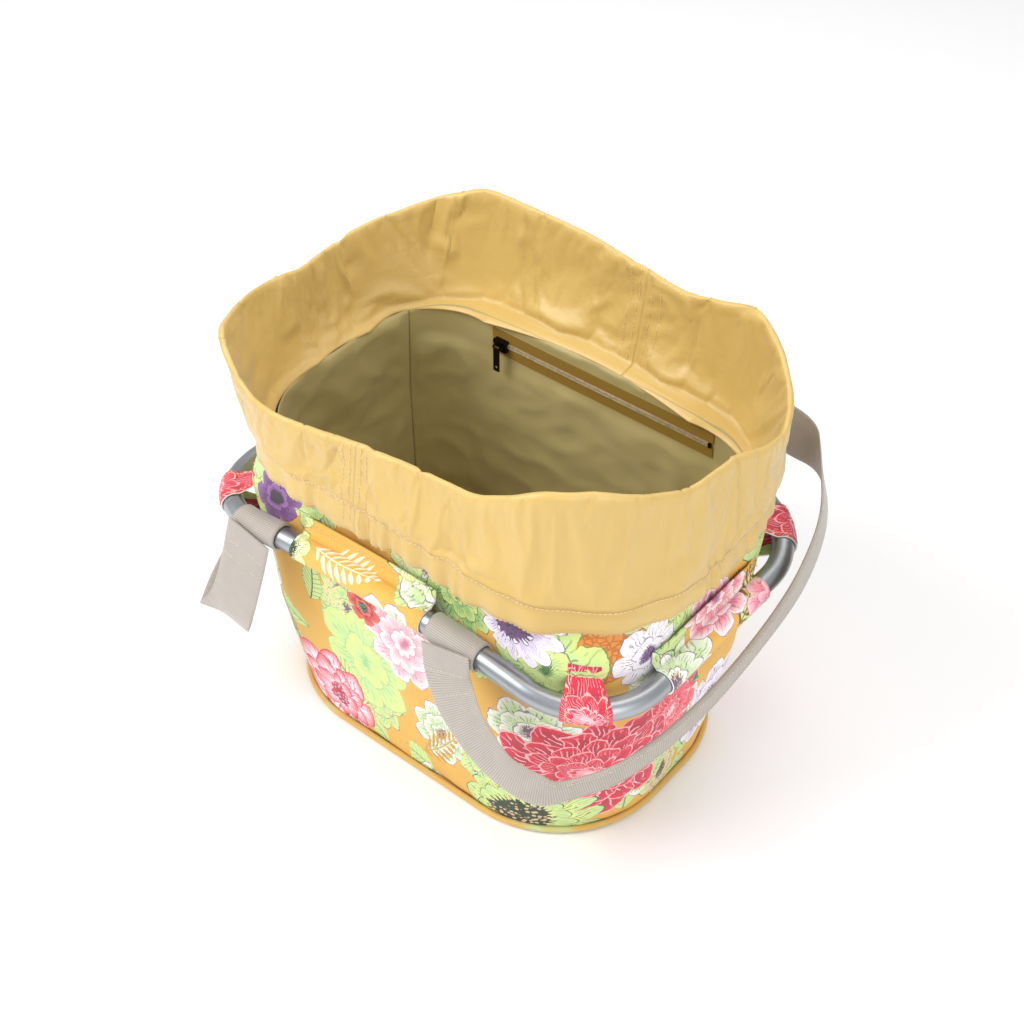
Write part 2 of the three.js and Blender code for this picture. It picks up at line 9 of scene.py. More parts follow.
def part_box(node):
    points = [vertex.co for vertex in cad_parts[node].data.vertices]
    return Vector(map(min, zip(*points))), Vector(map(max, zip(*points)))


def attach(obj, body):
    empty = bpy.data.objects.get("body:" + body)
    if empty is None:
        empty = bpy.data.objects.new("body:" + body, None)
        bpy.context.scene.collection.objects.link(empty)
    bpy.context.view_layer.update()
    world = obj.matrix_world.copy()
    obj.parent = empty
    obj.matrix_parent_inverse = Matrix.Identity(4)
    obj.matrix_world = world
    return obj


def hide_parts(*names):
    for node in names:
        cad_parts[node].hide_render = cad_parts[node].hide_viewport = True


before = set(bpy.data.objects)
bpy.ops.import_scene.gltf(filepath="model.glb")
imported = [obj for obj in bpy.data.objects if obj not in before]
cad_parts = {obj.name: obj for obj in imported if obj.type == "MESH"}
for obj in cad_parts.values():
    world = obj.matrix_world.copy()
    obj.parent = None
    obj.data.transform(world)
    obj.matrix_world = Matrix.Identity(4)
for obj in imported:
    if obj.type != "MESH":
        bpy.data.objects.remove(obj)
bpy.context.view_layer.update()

MM = 0.001

# ---------------------------------------------------------------- camera
# The photograph looks down on the basket from its front right corner.
AZIMUTH, ELEVATION = math.radians(39.5), math.radians(41.9)
back = Vector((
    math.sin(AZIMUTH) * math.cos(ELEVATION),
    -math.cos(AZIMUTH) * math.cos(ELEVATION),
    math.sin(ELEVATION),
))
camera = bpy.data.objects.new("camera", bpy.data.cameras.new("camera"))
bpy.context.scene.collection.objects.link(camera)
camera.data.lens = 59.1
camera.data.sensor_width = 36
camera.location = Vector((0.0065, 0.0015, 0.176)) + back * 1.178
camera.rotation_mode = "QUATERNION"
camera.rotation_quaternion = (-back).to_track_quat("-Z", "Y")
bpy.context.scene.camera = camera


# ---------------------------------------------------------------- ring tube
# One aluminium tube, 16 mm, bent to a rounded rectangle whose long sides arch up,
# butt welded at the back inside the rear sleeve, then satin anodised.
def linear(hex_colour):
    """An sRGB colour, such as #e2b558, as the linear values Blender works in."""
    rgb = [int(hex_colour[i:i + 2], 16) / 255 for i in (1, 3, 5)]
    return [c / 12.92 if c <= 0.04045 else ((c + 0.055) / 1.055) ** 2.4 for c in rgb] + [1.0]


def node(tree, kind, inputs=None, **settings):
    """Adds a node; an input given as a socket is linked, anything else is its value."""
    made = tree.nodes.new(kind)
    for key, value in settings.items():
        setattr(made, key, value)
    for key, value in (inputs or {}).items():
        socket = made.inputs[key]
        if isinstance(value, bpy.types.NodeSocket):
            tree.links.new(value, socket)
        elif isinstance(value, str):
            socket.default_value = linear(value)
        else:
            socket.default_value = value
    return made


def calc(tree, operation, a, b=0.0, c=0.0, clamp=False):
    return node(tree, "ShaderNodeMath", {0: a, 1: b, 2: c}, operation=operation,
                use_clamp=clamp).outputs[0]


def mul(tree, a, b, clamp=False):
    return calc(tree, "MULTIPLY", a, b, clamp=clamp)


def mul_add(tree, a, b, c):
    return calc(tree, "MULTIPLY_ADD", a, b, c)


def vec(tree, operation, a, b=(0, 0, 0)):
    made = node(tree, "ShaderNodeVectorMath", {0: a, 1: b}, operation=operation)
    return made.outputs["Value" if operation in ("LENGTH", "DISTANCE") else "Vector"]


def blend_colour(tree, factor, a, b):
    made = node(tree, "ShaderNodeMix", data_type="RGBA")
    for socket, value in ((made.inputs[0], factor), (made.inputs[6], a), (made.inputs[7], b)):
        if isinstance(value, bpy.types.NodeSocket):
            tree.links.new(value, socket)
        else:
            socket.default_value = linear(value) if isinstance(value, str) else value
    return made.outputs[2]


def new_material(name):
    material = bpy.data.materials.new(name)
    material.use_nodes = True
    material.node_tree.nodes.clear()
    return material, material.node_tree


def surface(tree, inputs, height=None, distance=0.0002, strength=1.0):
    """Principled surface, with a bump in metres where a height is given."""
    if height is not None:
        bump = node(tree, "ShaderNodeBump",
                    {"Height": height, "Distance": distance, "Strength": strength})
        inputs["Normal"] = bump.outputs[0]
    shader = node(tree, "ShaderNodeBsdfPrincipled", inputs)
    node(tree, "ShaderNodeOutputMaterial", {"Surface": shader.outputs[0]})
    return shader


def position(tree):
    return node(tree, "ShaderNodeTexCoord").outputs["Object"]


def uv(tree):
    return node(tree, "ShaderNodeUVMap", uv_map="cloth").outputs[0]


def cloudy(tree, vector, scale, detail=3.0, roughness=0.5):
    made = node(tree, "ShaderNodeTexNoise", {"Vector": vector, "Scale": scale,
                                             "Detail": detail, "Roughness": roughness})
    return made.outputs[0]


def satin_aluminium():
    # Anodised tube: pale grey metal with faint drawing marks and finger smears.
    material, tree = new_material("satin anodised aluminium")
    where = position(tree)
    marks = cloudy(tree, vec(tree, "MULTIPLY", where, (900, 900, 2600)), 1.0, 2.0)
    smear = cloudy(tree, where, 38.0, 4.0)
    rough = mul_add(tree, smear, 0.16, 0.30)
    colour = blend_colour(tree, smear, "#9a9ea3", "#b4b8bc")
    surface(tree, {"Base Color": colour, "Metallic": 1.0, "Roughness": rough},
            marks, 0.00003, 0.5)
    return material


STATIONS = 56
BASE = (304, 210, 85, 85, 0)      # width, depth, front radius, rear radius, shift in y
WAIST = (336, 224, 64, 64, 0)
RIM = (330, 221, 94, 74, 0)
RING = (358, 250, 60, 60, 0)
RING_Z, RIM_Z, RING_ARCH, RIM_ARCH = 171.0, 236.0, 18.0, 14.0


def walk(shape, u):
    """Rounded rectangle in fixed stations, as the CAD walks it: x, y and the outward normal."""
    w, d, rf, rr, shift = shape
    v = np.mod(np.asarray(u, float), STATIONS)
    ax, ay = w / 2, d / 2
    x, y, nx, ny = (np.zeros_like(v) for _ in range(4))
    runs = (
        (0, 8, (-(ax - rr), ay), (ax - rr, ay), (0, 1)),
        (16, 20, (ax, ay - rr), (ax, -(ay - rf)), (1, 0)),
        (28, 36, (ax - rf, -ay), (-(ax - rf), -ay), (0, -1)),
        (44, 48, (-ax, -(ay - rf)), (-ax, ay - rr), (-1, 0)),
    )
    for start, end, p, q, n in runs:
        m = (v >= start) & (v < end)
        t = (v[m] - start) / (end - start)
        x[m], y[m] = p[0] + (q[0] - p[0]) * t, p[1] + (q[1] - p[1]) * t
        nx[m], ny[m] = n
    bends = (
        (8, ax - rr, ay - rr, rr, 90), (20, ax - rf, -(ay - rf), rf, 0),
        (36, -(ax - rf), -(ay - rf), rf, -90), (48, -(ax - rr), ay - rr, rr, 180),
    )
    for start, cx, cy, r, first in bends:
        m = (v >= start) & (v < start + 8)
        a = np.radians(first - (v[m] - start) / 8 * 90)
        x[m], y[m] = cx + r * np.cos(a), cy + r * np.sin(a)
        nx[m], ny[m] = np.cos(a), np.sin(a)
    return x, y + shift, nx, ny


def mix_shapes(a, b, t):
    return tuple(p + (q - p) * t for p, q in zip(a, b))


def bag_at(z):
    if z < RING_Z:
        return mix_shapes(BASE, WAIST, z / RING_Z)
    return mix_shapes(WAIST, RIM, min((z - RING_Z) / (RIM_Z + RIM_ARCH - RING_Z), 1))


def arch(x, width, height):
    return height * (1 - (2 * x / width) ** 2)


def smooth(t):
    t = np.clip(t, 0, 1)
    return t * t * (3 - 2 * t)


def girth(u):
    """Distance round the bag, in mm, from the middle of the front; right is positive."""
    knots = [-8, 0, 8, 16, 20, 28, 36, 44, 48, 56, 64]
    lengths = [709.5, 609, 401, 300.5, 204.5, 104, -104, -204.5, -300.5, -401, -609]
    return np.interp(u, knots, lengths)


def mesh_from(name, grid, close_u=False, close_v=False, cloth_uv=None, material=None):
    """A piece from a grid of points in mm; an open run of closed sections gets its ends."""
    nu, nv = grid.shape[:2]
    rows = nu if close_u else nu - 1
    columns = nv if close_v else nv - 1
    i, j = np.meshgrid(np.arange(rows), np.arange(columns), indexing="ij")
    i2, j2 = (i + 1) % nu, (j + 1) % nv
    quads = np.stack([i * nv + j, i2 * nv + j, i2 * nv + j2, i * nv + j2], -1).reshape(-1, 4)
    faces = quads.tolist()
    if close_v and not close_u:
        end = (nu - 1) * nv
        for k in range(nv // 2 - 1):
            q = nv - 1 - k
            faces.append([k, k + 1, q - 1, q])
            faces.append([end + q, end + q - 1, end + k + 1, end + k])
    mesh = bpy.data.meshes.new(name)
    mesh.from_pydata((grid.reshape(-1, 3) * MM).tolist(), [], faces)
    if cloth_uv is not None:
        layer = mesh.uv_layers.new(name="cloth")
        corners = np.stack([
            cloth_uv[i, j], cloth_uv[i + 1, j], cloth_uv[i + 1, j + 1], cloth_uv[i, j + 1],
        ], 2).reshape(-1, 2)
        flat = np.zeros((len(mesh.loops), 2))
        flat[:len(corners)] = corners * MM
        layer.data.foreach_set("uv", flat.ravel())
    mesh.polygons.foreach_set("use_smooth", [True] * len(mesh.polygons))
    if close_v:
        shaped = bmesh.new()
        shaped.from_mesh(mesh)
        bmesh.ops.recalc_face_normals(shaped, faces=shaped.faces)
        shaped.to_mesh(mesh)
        shaped.free()
    made = bpy.data.objects.new(name, mesh)
    bpy.context.scene.collection.objects.link(made)
    if material:
        mesh.materials.append(material)
    return made


def round_run(name, shape, radius, height, material, count=336, sides=24):
    u = np.linspace(0, STATIONS, count, endpoint=False)
    x, y, nx, ny = walk(shape, u)
    z = height(x)
    a = np.linspace(0, 2 * np.pi, sides, endpoint=False)
    out = radius * np.cos(a)[None, :]
    grid = np.stack([x[:, None] + nx[:, None] * out, y[:, None] + ny[:, None] * out,
                     z[:, None] + radius * np.sin(a)[None, :]], -1)
    grid = np.broadcast_to(grid, (count, sides, 3)).copy()
    v = np.linspace(0, 2 * np.pi * radius, sides + 1)
    run = girth(np.linspace(0, STATIONS, count + 1))
    cloth_uv = np.stack(np.meshgrid(run, v, indexing="ij"), -1)
    return mesh_from(name, grid, True, True, cloth_uv, material)


def tube_z(x):
    return RING_Z + arch(x, RING[0], RING_ARCH)


def rim_z(x):
    return RIM_Z + arch(x, RIM[0], RIM_ARCH)


TUBE_R = 8.0
ring = round_run("ring_tube", RING, TUBE_R, tube_z, satin_aluminium())
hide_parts("frame_ring")
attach(ring, "bag")


# ---------------------------------------------------------------- printed bag
# Woven polyester over thin foam, printed with large garden flowers on honey yellow.
# The front and sides are one panel, the rear another; both are sewn to the base.
def group(name, sockets, outputs=(("Color", "NodeSocketColor"),)):
    tree = bpy.data.node_groups.new(name, "ShaderNodeTree")
    for label, kind, value in sockets:
        socket = tree.interface.new_socket(label, in_out="INPUT", socket_type=kind)
        if value is not None:
            socket.default_value = linear(value) if isinstance(value, str) else value
    for label, kind in outputs:
        tree.interface.new_socket(label, in_out="OUTPUT", socket_type=kind)
    return tree, tree.nodes.new("NodeGroupInput").outputs, tree.nodes.new("NodeGroupOutput")


FLOAT, COLOUR, VECTOR = "NodeSocketFloat", "NodeSocketColor", "NodeSocketVector"


def inside(tree, edge, value, sharp=45.0):
    """1 where value is under edge, falling to 0 over a narrow step."""
    return mul(tree, calc(tree, "SUBTRACT", edge, value), sharp, clamp=True)


def blossom_group():
    """A drawn flower one unit in radius: rings of petals round a seeded heart."""
    tree, i, out = group("blossom", (
        ("Base", COLOUR, "#e2b558"), ("Vector", VECTOR, None), ("Petals", FLOAT, 8.0),
        ("Rings", FLOAT, 3.0), ("Inner", COLOUR, "#ffffff"), ("Outer", COLOUR, "#ffffff"),
        ("Line", COLOUR, "#20242a"), ("Heart", COLOUR, "#20242a"), ("Heart size", FLOAT, 0.2)))
    shake = node(tree, "ShaderNodeTexNoise", {"Vector": i["Vector"], "Scale": 2.2, "Detail": 3.0})
    moved = vec(tree, "ADD", i["Vector"], vec(tree, "MULTIPLY", vec(
        tree, "SUBTRACT", shake.outputs["Color"], (0.5, 0.5, 0.5)), (0.36, 0.36, 0)))
    split = node(tree, "ShaderNodeSeparateXYZ", {0: moved}).outputs
    r = vec(tree, "LENGTH", moved)
    angle = calc(tree, "ARCTAN2", split[1], split[0])
    wave = mul(tree, angle, mul(tree, i["Petals"], 0.5))
    even = calc(tree, "POWER", calc(tree, "ABSOLUTE", calc(tree, "COSINE", wave)), 0.45)
    odd = calc(tree, "POWER", calc(tree, "ABSOLUTE", calc(tree, "SINE", wave)), 0.45)
    even = mul_add(tree, even, 0.34, 0.66)
    odd = mul_add(tree, odd, 0.34, 0.66)
    spread = mul(tree, r, i["Rings"])
    ring_even = mul(tree, calc(tree, "CEIL", calc(
        tree, "MULTIPLY_ADD", calc(tree, "DIVIDE", spread, even), 0.5, -0.5)), 2.0)
    ring_odd = mul_add(tree, calc(tree, "CEIL", calc(
        tree, "MULTIPLY_ADD", calc(tree, "DIVIDE", spread, odd), 0.5, -1.0)), 2.0, 1.0)
    is_odd = calc(tree, "LESS_THAN", ring_odd, ring_even)
    ring_number = calc(tree, "ADD", calc(tree, "MINIMUM", ring_odd, ring_even), 1.0)
    edge = mul_add(tree, is_odd, calc(tree, "SUBTRACT", odd, even), even)
    t = calc(tree, "DIVIDE", spread, mul(tree, ring_number, edge))
    to_tip = mul(tree, calc(tree, "SUBTRACT", 1.0, t), ring_number)
    tip = calc(tree, "SUBTRACT", 1.0, to_tip, clamp=True)
    mask = calc(tree, "LESS_THAN", ring_number, calc(tree, "ADD", i["Rings"], 0.5))
    colour = blend_colour(tree, tip, i["Inner"], i["Outer"])
    fine = calc(tree, "SINE", mul_add(tree, wave, 11.0, mul(tree, shake.outputs[0], 12.0)))
    broken = calc(tree, "GREATER_THAN", cloudy(tree, i["Vector"], 6.0), 0.47)
    veins = mul(tree, calc(tree, "GREATER_THAN", fine, 0.72), broken)
    veins = mul(tree, veins, calc(tree, "SUBTRACT", 1.05, tip))
    line_width = mul(tree, i["Rings"], 0.024)
    rims = calc(tree, "LESS_THAN", to_tip, line_width)
    colour = blend_colour(tree, mul(tree, calc(tree, "MAXIMUM", rims, veins), 0.85),
                          colour, i["Line"])
    seeds = node(tree, "ShaderNodeTexVoronoi", {"Vector": i["Vector"], "Scale": 15.0})
    seed = inside(tree, 0.45, seeds.outputs["Distance"], 9.0)
    fringe = mul_add(tree, calc(tree, "SINE", mul(tree, angle, 29.0)), 0.04,
                  i["Heart size"])
    heart = blend_colour(tree, seed, i["Line"], i["Heart"])
    colour = blend_colour(tree, inside(tree, fringe, r, 40.0), colour, heart)
    tree.links.new(blend_colour(tree, mask, i["Base"], colour), out.inputs[0])
    return tree


def leaf_group():
    """A leaf along x from 0 to 1, with a midrib and side veins."""
    tree, i, out = group("leaf", (
        ("Base", COLOUR, "#e2b558"), ("Vector", VECTOR, None), ("Inner", COLOUR, "#ffffff"),
        ("Outer", COLOUR, "#ffffff"), ("Line", COLOUR, "#20242a")))
    split = node(tree, "ShaderNodeSeparateXYZ", {0: i["Vector"]}).outputs
    bent = mul_add(tree, mul(tree, split[0], split[0]), -0.22, split[1])
    away = calc(tree, "ABSOLUTE", bent)
    within = calc(tree, "COMPARE", split[0], 0.5, 0.5)
    bow = calc(tree, "POWER", calc(tree, "ABSOLUTE", calc(
        tree, "SINE", mul(tree, split[0], math.pi))), 0.75)
    teeth = calc(tree, "PINGPONG", calc(tree, "SUBTRACT", split[0], away), 0.05)
    edge = mul_add(tree, teeth, 0.5, mul(tree, bow, 0.22))
    mask = mul(tree, inside(tree, edge, away, 60.0), within)
    slant = mul_add(tree, away, -0.9, split[0])
    vein = calc(tree, "LESS_THAN", calc(tree, "FRACT", mul(tree, slant, 9.0)), 0.12)
    lines = calc(tree, "MAXIMUM", mul(tree, vein, 0.7), calc(tree, "LESS_THAN", away, 0.012))
    lines = calc(tree, "MAXIMUM", lines, calc(tree, "COMPARE", away, edge, 0.013))
    colour = blend_colour(tree, cloudy(tree, i["Vector"], 4.0, 4.0), i["Inner"], i["Outer"])
    colour = blend_colour(tree, lines, colour, i["Line"])
    tree.links.new(blend_colour(tree, mask, i["Base"], colour), out.inputs[0])
    return tree


def fern_group():
    """A sprig along x from 0 to 1 with pairs of small leaves."""
    tree, i, out = group("fern", (
        ("Base", COLOUR, "#e2b558"), ("Vector", VECTOR, None), ("Ink", COLOUR, "#ffffff")))
    split = node(tree, "ShaderNodeSeparateXYZ", {0: i["Vector"]}).outputs
    bent = mul_add(tree, mul(tree, split[0], split[0]), -0.3, split[1])
    away = calc(tree, "ABSOLUTE", bent)
    slant = mul(tree, mul_add(tree, away, -0.7, split[0]), 9.0)
    reach_out = mul(tree, calc(tree, "SINE", mul(tree, split[0], math.pi)), 0.30)
    t = calc(tree, "DIVIDE", away, calc(tree, "MAXIMUM", reach_out, 0.001))
    plump = mul(tree, calc(tree, "SINE", mul(tree, t, math.pi)), 0.36)
    leaf = inside(tree, plump, calc(tree, "ABSOLUTE", calc(
        tree, "SUBTRACT", calc(tree, "FRACT", slant), 0.5)), 16.0)
    leaf = mul(tree, leaf, calc(tree, "LESS_THAN", t, 1.0))
    shape = calc(tree, "MAXIMUM", leaf, calc(tree, "LESS_THAN", away, 0.01))
    shape = mul(tree, shape, calc(tree, "COMPARE", split[0], 0.5, 0.5))
    tree.links.new(blend_colour(tree, shape, i["Base"], i["Ink"]), out.inputs[0])
    return tree


def place_group():
    """Moves to a motif's own coordinates inside its circle, and notes the motif's number."""
    tree, i, out = group("place", (
        ("Cloth", VECTOR, None), ("Vector", VECTOR, None), ("Number", FLOAT, 0.0),
        ("Centre", VECTOR, None), ("Turn", VECTOR, None), ("Size", VECTOR, None),
        ("Own number", FLOAT, 0.0)), (("Vector", VECTOR), ("Number", FLOAT)))
    mapped = node(tree, "ShaderNodeMapping", {
        "Vector": i["Cloth"], "Location": i["Centre"], "Rotation": i["Turn"], "Scale": i["Size"],
    }, vector_type="TEXTURE").outputs[0]
    near = calc(tree, "LESS_THAN", vec(tree, "LENGTH", mapped), 1.12)
    chosen = node(tree, "ShaderNodeMix", data_type="VECTOR")
    tree.links.new(near, chosen.inputs[0])
    tree.links.new(i["Vector"], chosen.inputs[4])
    tree.links.new(mapped, chosen.inputs[5])
    number = mul_add(tree, near, calc(tree, "SUBTRACT", i["Own number"], i["Number"]),
                  i["Number"])
    tree.links.new(chosen.outputs[1], out.inputs[0])
    tree.links.new(number, out.inputs[1])
    return tree


BLOSSOM, LEAF, FERN, PLACE = blossom_group(), leaf_group(), fern_group(), place_group()


def use(tree, grouped, base, vector, **inputs):
    values = {"Base": base, "Vector": vector}
    values.update({key.replace("_", " "): value for key, value in inputs.items()})
    return node(tree, "ShaderNodeGroup", values, node_tree=grouped).outputs[0]


def scattered(tree, vector, size, seed):
    """Coordinates centred in each cell of an irregular scatter, and the cell's random colour."""
    moved = vec(tree, "ADD", vector, (seed * 0.137, seed * 0.071, 0))
    scale = 1000 / size
    cells = node(tree, "ShaderNodeTexVoronoi", {"Vector": moved, "Scale": scale, "Randomness": 0.75},
                 voronoi_dimensions="2D")
    offset = vec(tree, "SUBTRACT", moved, cells.outputs["Position"])
    random = node(tree, "ShaderNodeSeparateColor", {0: cells.outputs["Color"]}).outputs
    turned = node(tree, "ShaderNodeVectorRotate", {
        "Vector": vec(tree, "MULTIPLY", offset, (scale, scale, 0)),
        "Angle": mul(tree, random[0], 6.28)}, rotation_type="Z_AXIS").outputs[0]
    return turned, random


def choose(tree, number, colours):
    """The colour belonging to a motif's number, from a stepped ramp."""
    made = node(tree, "ShaderNodeValToRGB", {0: number})
    ramp = made.color_ramp
    ramp.interpolation = "CONSTANT"
    for k, colour in enumerate(colours):
        stop = ramp.elements[0] if k == 0 else ramp.elements.new(k / len(colours))
        stop.position = k / len(colours)
        stop.color = linear(colour) if isinstance(colour, str) else colour
    ramp.elements.remove(ramp.elements[-1])
    return made.outputs[0]


def placed(tree, cloth, motifs):
    """Chains the motifs' places; later ones lie in front. Returns coordinates and number."""
    vector, number = (5.0, 5.0, 0.0), 0.0
    for k, (x, y, size, turn) in enumerate(motifs):
        made = node(tree, "ShaderNodeGroup", {
            "Cloth": cloth, "Vector": vector, "Number": number, "Centre": (x * MM, y * MM, 0),
            "Turn": (0, 0, math.radians(turn)), "Size": (size * MM, size * MM, 1),
            "Own number": (k + 0.5) / len(motifs)}, node_tree=PLACE)
        vector, number = made.outputs[0], made.outputs[1]
    return vector, number


# Flowers: where (mm round the bag from the front middle, mm up), radius, petals,
# rings, heart size, then inner, outer, line and heart colours. Each row of them is one layer.
CRIMSON, DEEP, ROSE, PALE = "#ea1f45", "#c01a40", "#f4849a", "#f4e4ee"
MINT, LIME, MOSS, EMERALD, JADE = "#c0e29c", "#dce98c", "#142e1b", "#07804c", "#3cc792"
LILAC, PLUM, INK, SAND, SNOW = "#ddd2ee", "#6a3b76", "#14221c", "#d9bd94", "#fffafa"
LAYERS = (
    (
        (-42, 88, 50, 6, 2, 0.12, MINT, LIME, "#9ccb85", LIME),
        (-150, 214, 34, 7, 2, 0.16, LIME, MINT, "#6f9455", MOSS),
        (226, 100, 42, 9, 3, 0.16, CRIMSON, "#ef6f80", "#ffd7dc", DEEP),
        (226, 26, 34, 13, 3, 0.3, "#e9c0b4", LIME, MOSS, "#c98f8f"),
        (129, 190, 36, 6, 2, 0.14, MINT, LIME, "#4f7a44", MOSS),
        (228, 218, 36, 6, 2, 0.18, LIME, MINT, MOSS, EMERALD),
        (335, 214, 38, 8, 2, 0.15, LIME, MINT, MOSS, INK),
        (-205, 120, 46, 9, 4, 0.2, DEEP, CRIMSON, ROSE, PALE),
        (-300, 170, 42, 8, 2, 0.2, LIME, MINT, MOSS, INK),
        (375, 130, 46, 9, 4, 0.2, PALE, CRIMSON, DEEP, SAND),
        (505, 200, 38, 11, 4, 0.14, CRIMSON, "#ef6f80", "#ffd7dc", DEEP),
        (620, 170, 42, 9, 3, 0.2, ROSE, CRIMSON, DEEP, PALE),
    ),
    (
        (-97, 28, 46, 8, 4, 0.24, PALE, CRIMSON, DEEP, "#c9b6d0"),
        (6, 134, 40, 9, 3, 0.14, "#f0b3c3", SNOW, "#c9799c", ROSE),
        (160, 76, 62, 11, 6, 0.10, DEEP, CRIMSON, "#ffc4cb", DEEP),
        (-117, 203, 22, 6, 2, 0.3, PLUM, "#9562a6", "#2b1b34", INK),
        (63, 213, 31, 8, 3, 0.2, "#8cbf72", LIME, MOSS, INK),
        (204, 214, 26, 5, 2, 0.2, LIME, MINT, MOSS, MOSS),
        (258, 190, 26, 8, 3, 0.16, ROSE, SNOW, "#a76892", ROSE),
        (183, 240, 20, 7, 3, 0.2, DEEP, CRIMSON, "#ffb0b8", DEEP),
        (-260, 60, 44, 13, 3, 0.3, LILAC, SNOW, PLUM, SAND),
        (303, 62, 42, 9, 3, 0.3, LILAC, SNOW, PLUM, INK),
        (440, 60, 46, 7, 2, 0.16, MINT, LIME, "#8fba78", LIME),
        (580, 50, 40, 13, 3, 0.3, LILAC, SNOW, PLUM, INK),
    ),
    (
        (127, 14, 47, 15, 3, 0.40, LIME, MINT, MOSS, SAND),
        (-33, 146, 16, 6, 2, 0.3, DEEP, "#f2705c", INK, JADE),
        (113, 216, 30, 14, 2, 0.44, LILAC, SNOW, PLUM, "#2d3a35"),
        (186, 191, 22, 6, 2, 0.26, SNOW, "#f3eef6", PLUM, "#8a83a8"),
        (-112, 238, 24, 10, 2, 0.2, LILAC, SNOW, PLUM, PLUM),
        (13, 221, 19, 7, 2, 0.3, "#e8f0c8", LIME, INK, EMERALD),
        (-68, 181, 17, 7, 2, 0.4, "#e8f0c8", LIME, INK, EMERALD),
        (293, 157, 24, 10, 3, 0.2, ROSE, "#fbd7de", "#c2567a", ROSE),
        (-190, 30, 26, 8, 3, 0.2, ROSE, SNOW, PLUM, DEEP),
        (360, 40, 30, 8, 3, 0.2, DEEP, CRIMSON, "#ffc4cb", DEEP),
        (470, 150, 26, 10, 2, 0.4, LILAC, SNOW, PLUM, INK),
    ),
)
# Leaves: where, length, turn in degrees, inner and outer colours. Sprigs: the same, one ink.
LEAVES = (
    (-48, 168, 34, 190, EMERALD, JADE), (0, 150, 30, 15, JADE, EMERALD),
    (-42, 222, 30, -12, EMERALD, JADE), (62, 234, 34, 8, JADE, EMERALD),
    (63, 86, 48, -56, JADE, EMERALD), (262, 116, 46, -100, EMERALD, JADE),
    (352, 236, 34, -100, EMERALD, JADE), (250, 60, 44, -60, LIME, MINT),
    (-66, 46, 52, 120, MINT, LIME), (-180, 70, 50, 60, EMERALD, JADE),
    (200, 24, 44, 30, LIME, MINT), (470, 120, 50, 30, EMERALD, JADE), (-96, 120, 44, 60, MINT, LIME),
)
SPRIGS = (
    (-50, 190, 48, -14, "#f4ecd0"), (-128, 168, 70, -84, "#5a4a1e"), (56, 112, 62, -82, "#dbe8b4"),
    (-10, 56, 62, 200, "#dfc98a"), (262, 162, 44, 24, "#7d5a14"), (138, 238, 42, 0, "#fff6e0"),
    (20, 24, 62, 30, "#c99632"), (-70, 112, 44, 70, "#f0dca4"), (330, 110, 60, 60, "#7d5a14"),
    (420, 180, 60, -40, "#f4ecd0"), (540, 110, 60, 40, "#dbe8b4"), (-160, 110, 60, -70, "#5a4a1e"),
)


def print_colour(tree, vector):
    """The printed flowers, drawn back to front over the honey ground."""
    colour = blend_colour(tree, cloudy(tree, vector, 22.0, 3.0), "#dfa63a", "#ecbc56")
    cells = node(tree, "ShaderNodeTexVoronoi", {"Vector": vector, "Scale": 260.0},
                 feature="DISTANCE_TO_EDGE").outputs["Distance"]
    rusty = blend_colour(tree, calc(tree, "LESS_THAN", cells, 0.1), "#e0923a", "#c46f20")
    patch = vec(tree, "DISTANCE", vector, (0.159, 0.204, 0))
    colour = blend_colour(tree, calc(tree, "LESS_THAN", patch, 0.026), colour, rusty)
    place, random = scattered(tree, vector, 70, 1)
    colour = use(tree, LEAF, colour, vec(tree, "MULTIPLY", place, (1.3, 1.3, 0)),
                 Inner=MINT, Outer=LIME, Line="#7fa06a")
    place, random = scattered(tree, vector, 86, 2)
    petals = calc(tree, "ROUND", mul_add(tree, random[1], 5.0, 6.0))
    tint = blend_colour(tree, calc(tree, "GREATER_THAN", random[2], 0.5), SNOW, LIME)
    colour = use(tree, BLOSSOM, colour, vec(tree, "MULTIPLY", place, (2.6, 2.6, 0)), Petals=petals,
                 Inner=MINT, Outer=tint, Line="#6d5a78", Heart=SAND)
    vector_at, number = placed(tree, vector, [m[:4] for m in SPRIGS])
    colour = use(tree, FERN, colour, vector_at, Ink=choose(tree, number, [m[4] for m in SPRIGS]))
    for k, layer in enumerate(LAYERS):
        if k == 1:
            vector_at, number = placed(tree, vector, [m[:4] for m in LEAVES])
            colour = use(tree, LEAF, colour, vector_at, Line=INK,
                         Inner=choose(tree, number, [m[4] for m in LEAVES]),
                         Outer=choose(tree, number, [m[5] for m in LEAVES]))
        vector_at, number = placed(tree, vector, [(m[0], m[1], m[2], m[0] * 3.1) for m in layer])
        sizes = choose(tree, number, [(m[3] / 20, m[4] / 20, m[5], 1) for m in layer])
        parts = node(tree, "ShaderNodeSeparateColor", {0: sizes}).outputs
        colour = use(tree, BLOSSOM, colour, vector_at,
                     Petals=calc(tree, "ROUND", mul(tree, parts[0], 20.0)),
                     Rings=calc(tree, "ROUND", mul(tree, parts[1], 20.0)),
                     Heart_size=parts[2], Inner=choose(tree, number, [m[6] for m in layer]),
                     Outer=choose(tree, number, [m[7] for m in layer]),
                     Line=choose(tree, number, [m[8] for m in layer]),
                     Heart=choose(tree, number, [m[9] for m in layer]))
    return colour


def weave(tree, vector, pitch, slub=0.3):
    """Height of a plain weave of that pitch in mm, with uneven yarns."""
    split = node(tree, "ShaderNodeSeparateXYZ", {0: vector}).outputs
    turn = 2 * math.pi / (pitch * MM)
    across = calc(tree, "SINE", mul(tree, split[0], turn))
    along = calc(tree, "SINE", mul(tree, split[1], turn))
    yarns = mul(tree, across, along)
    return mul_add(tree, cloudy(tree, vector, 900.0, 2.0), slub, yarns)


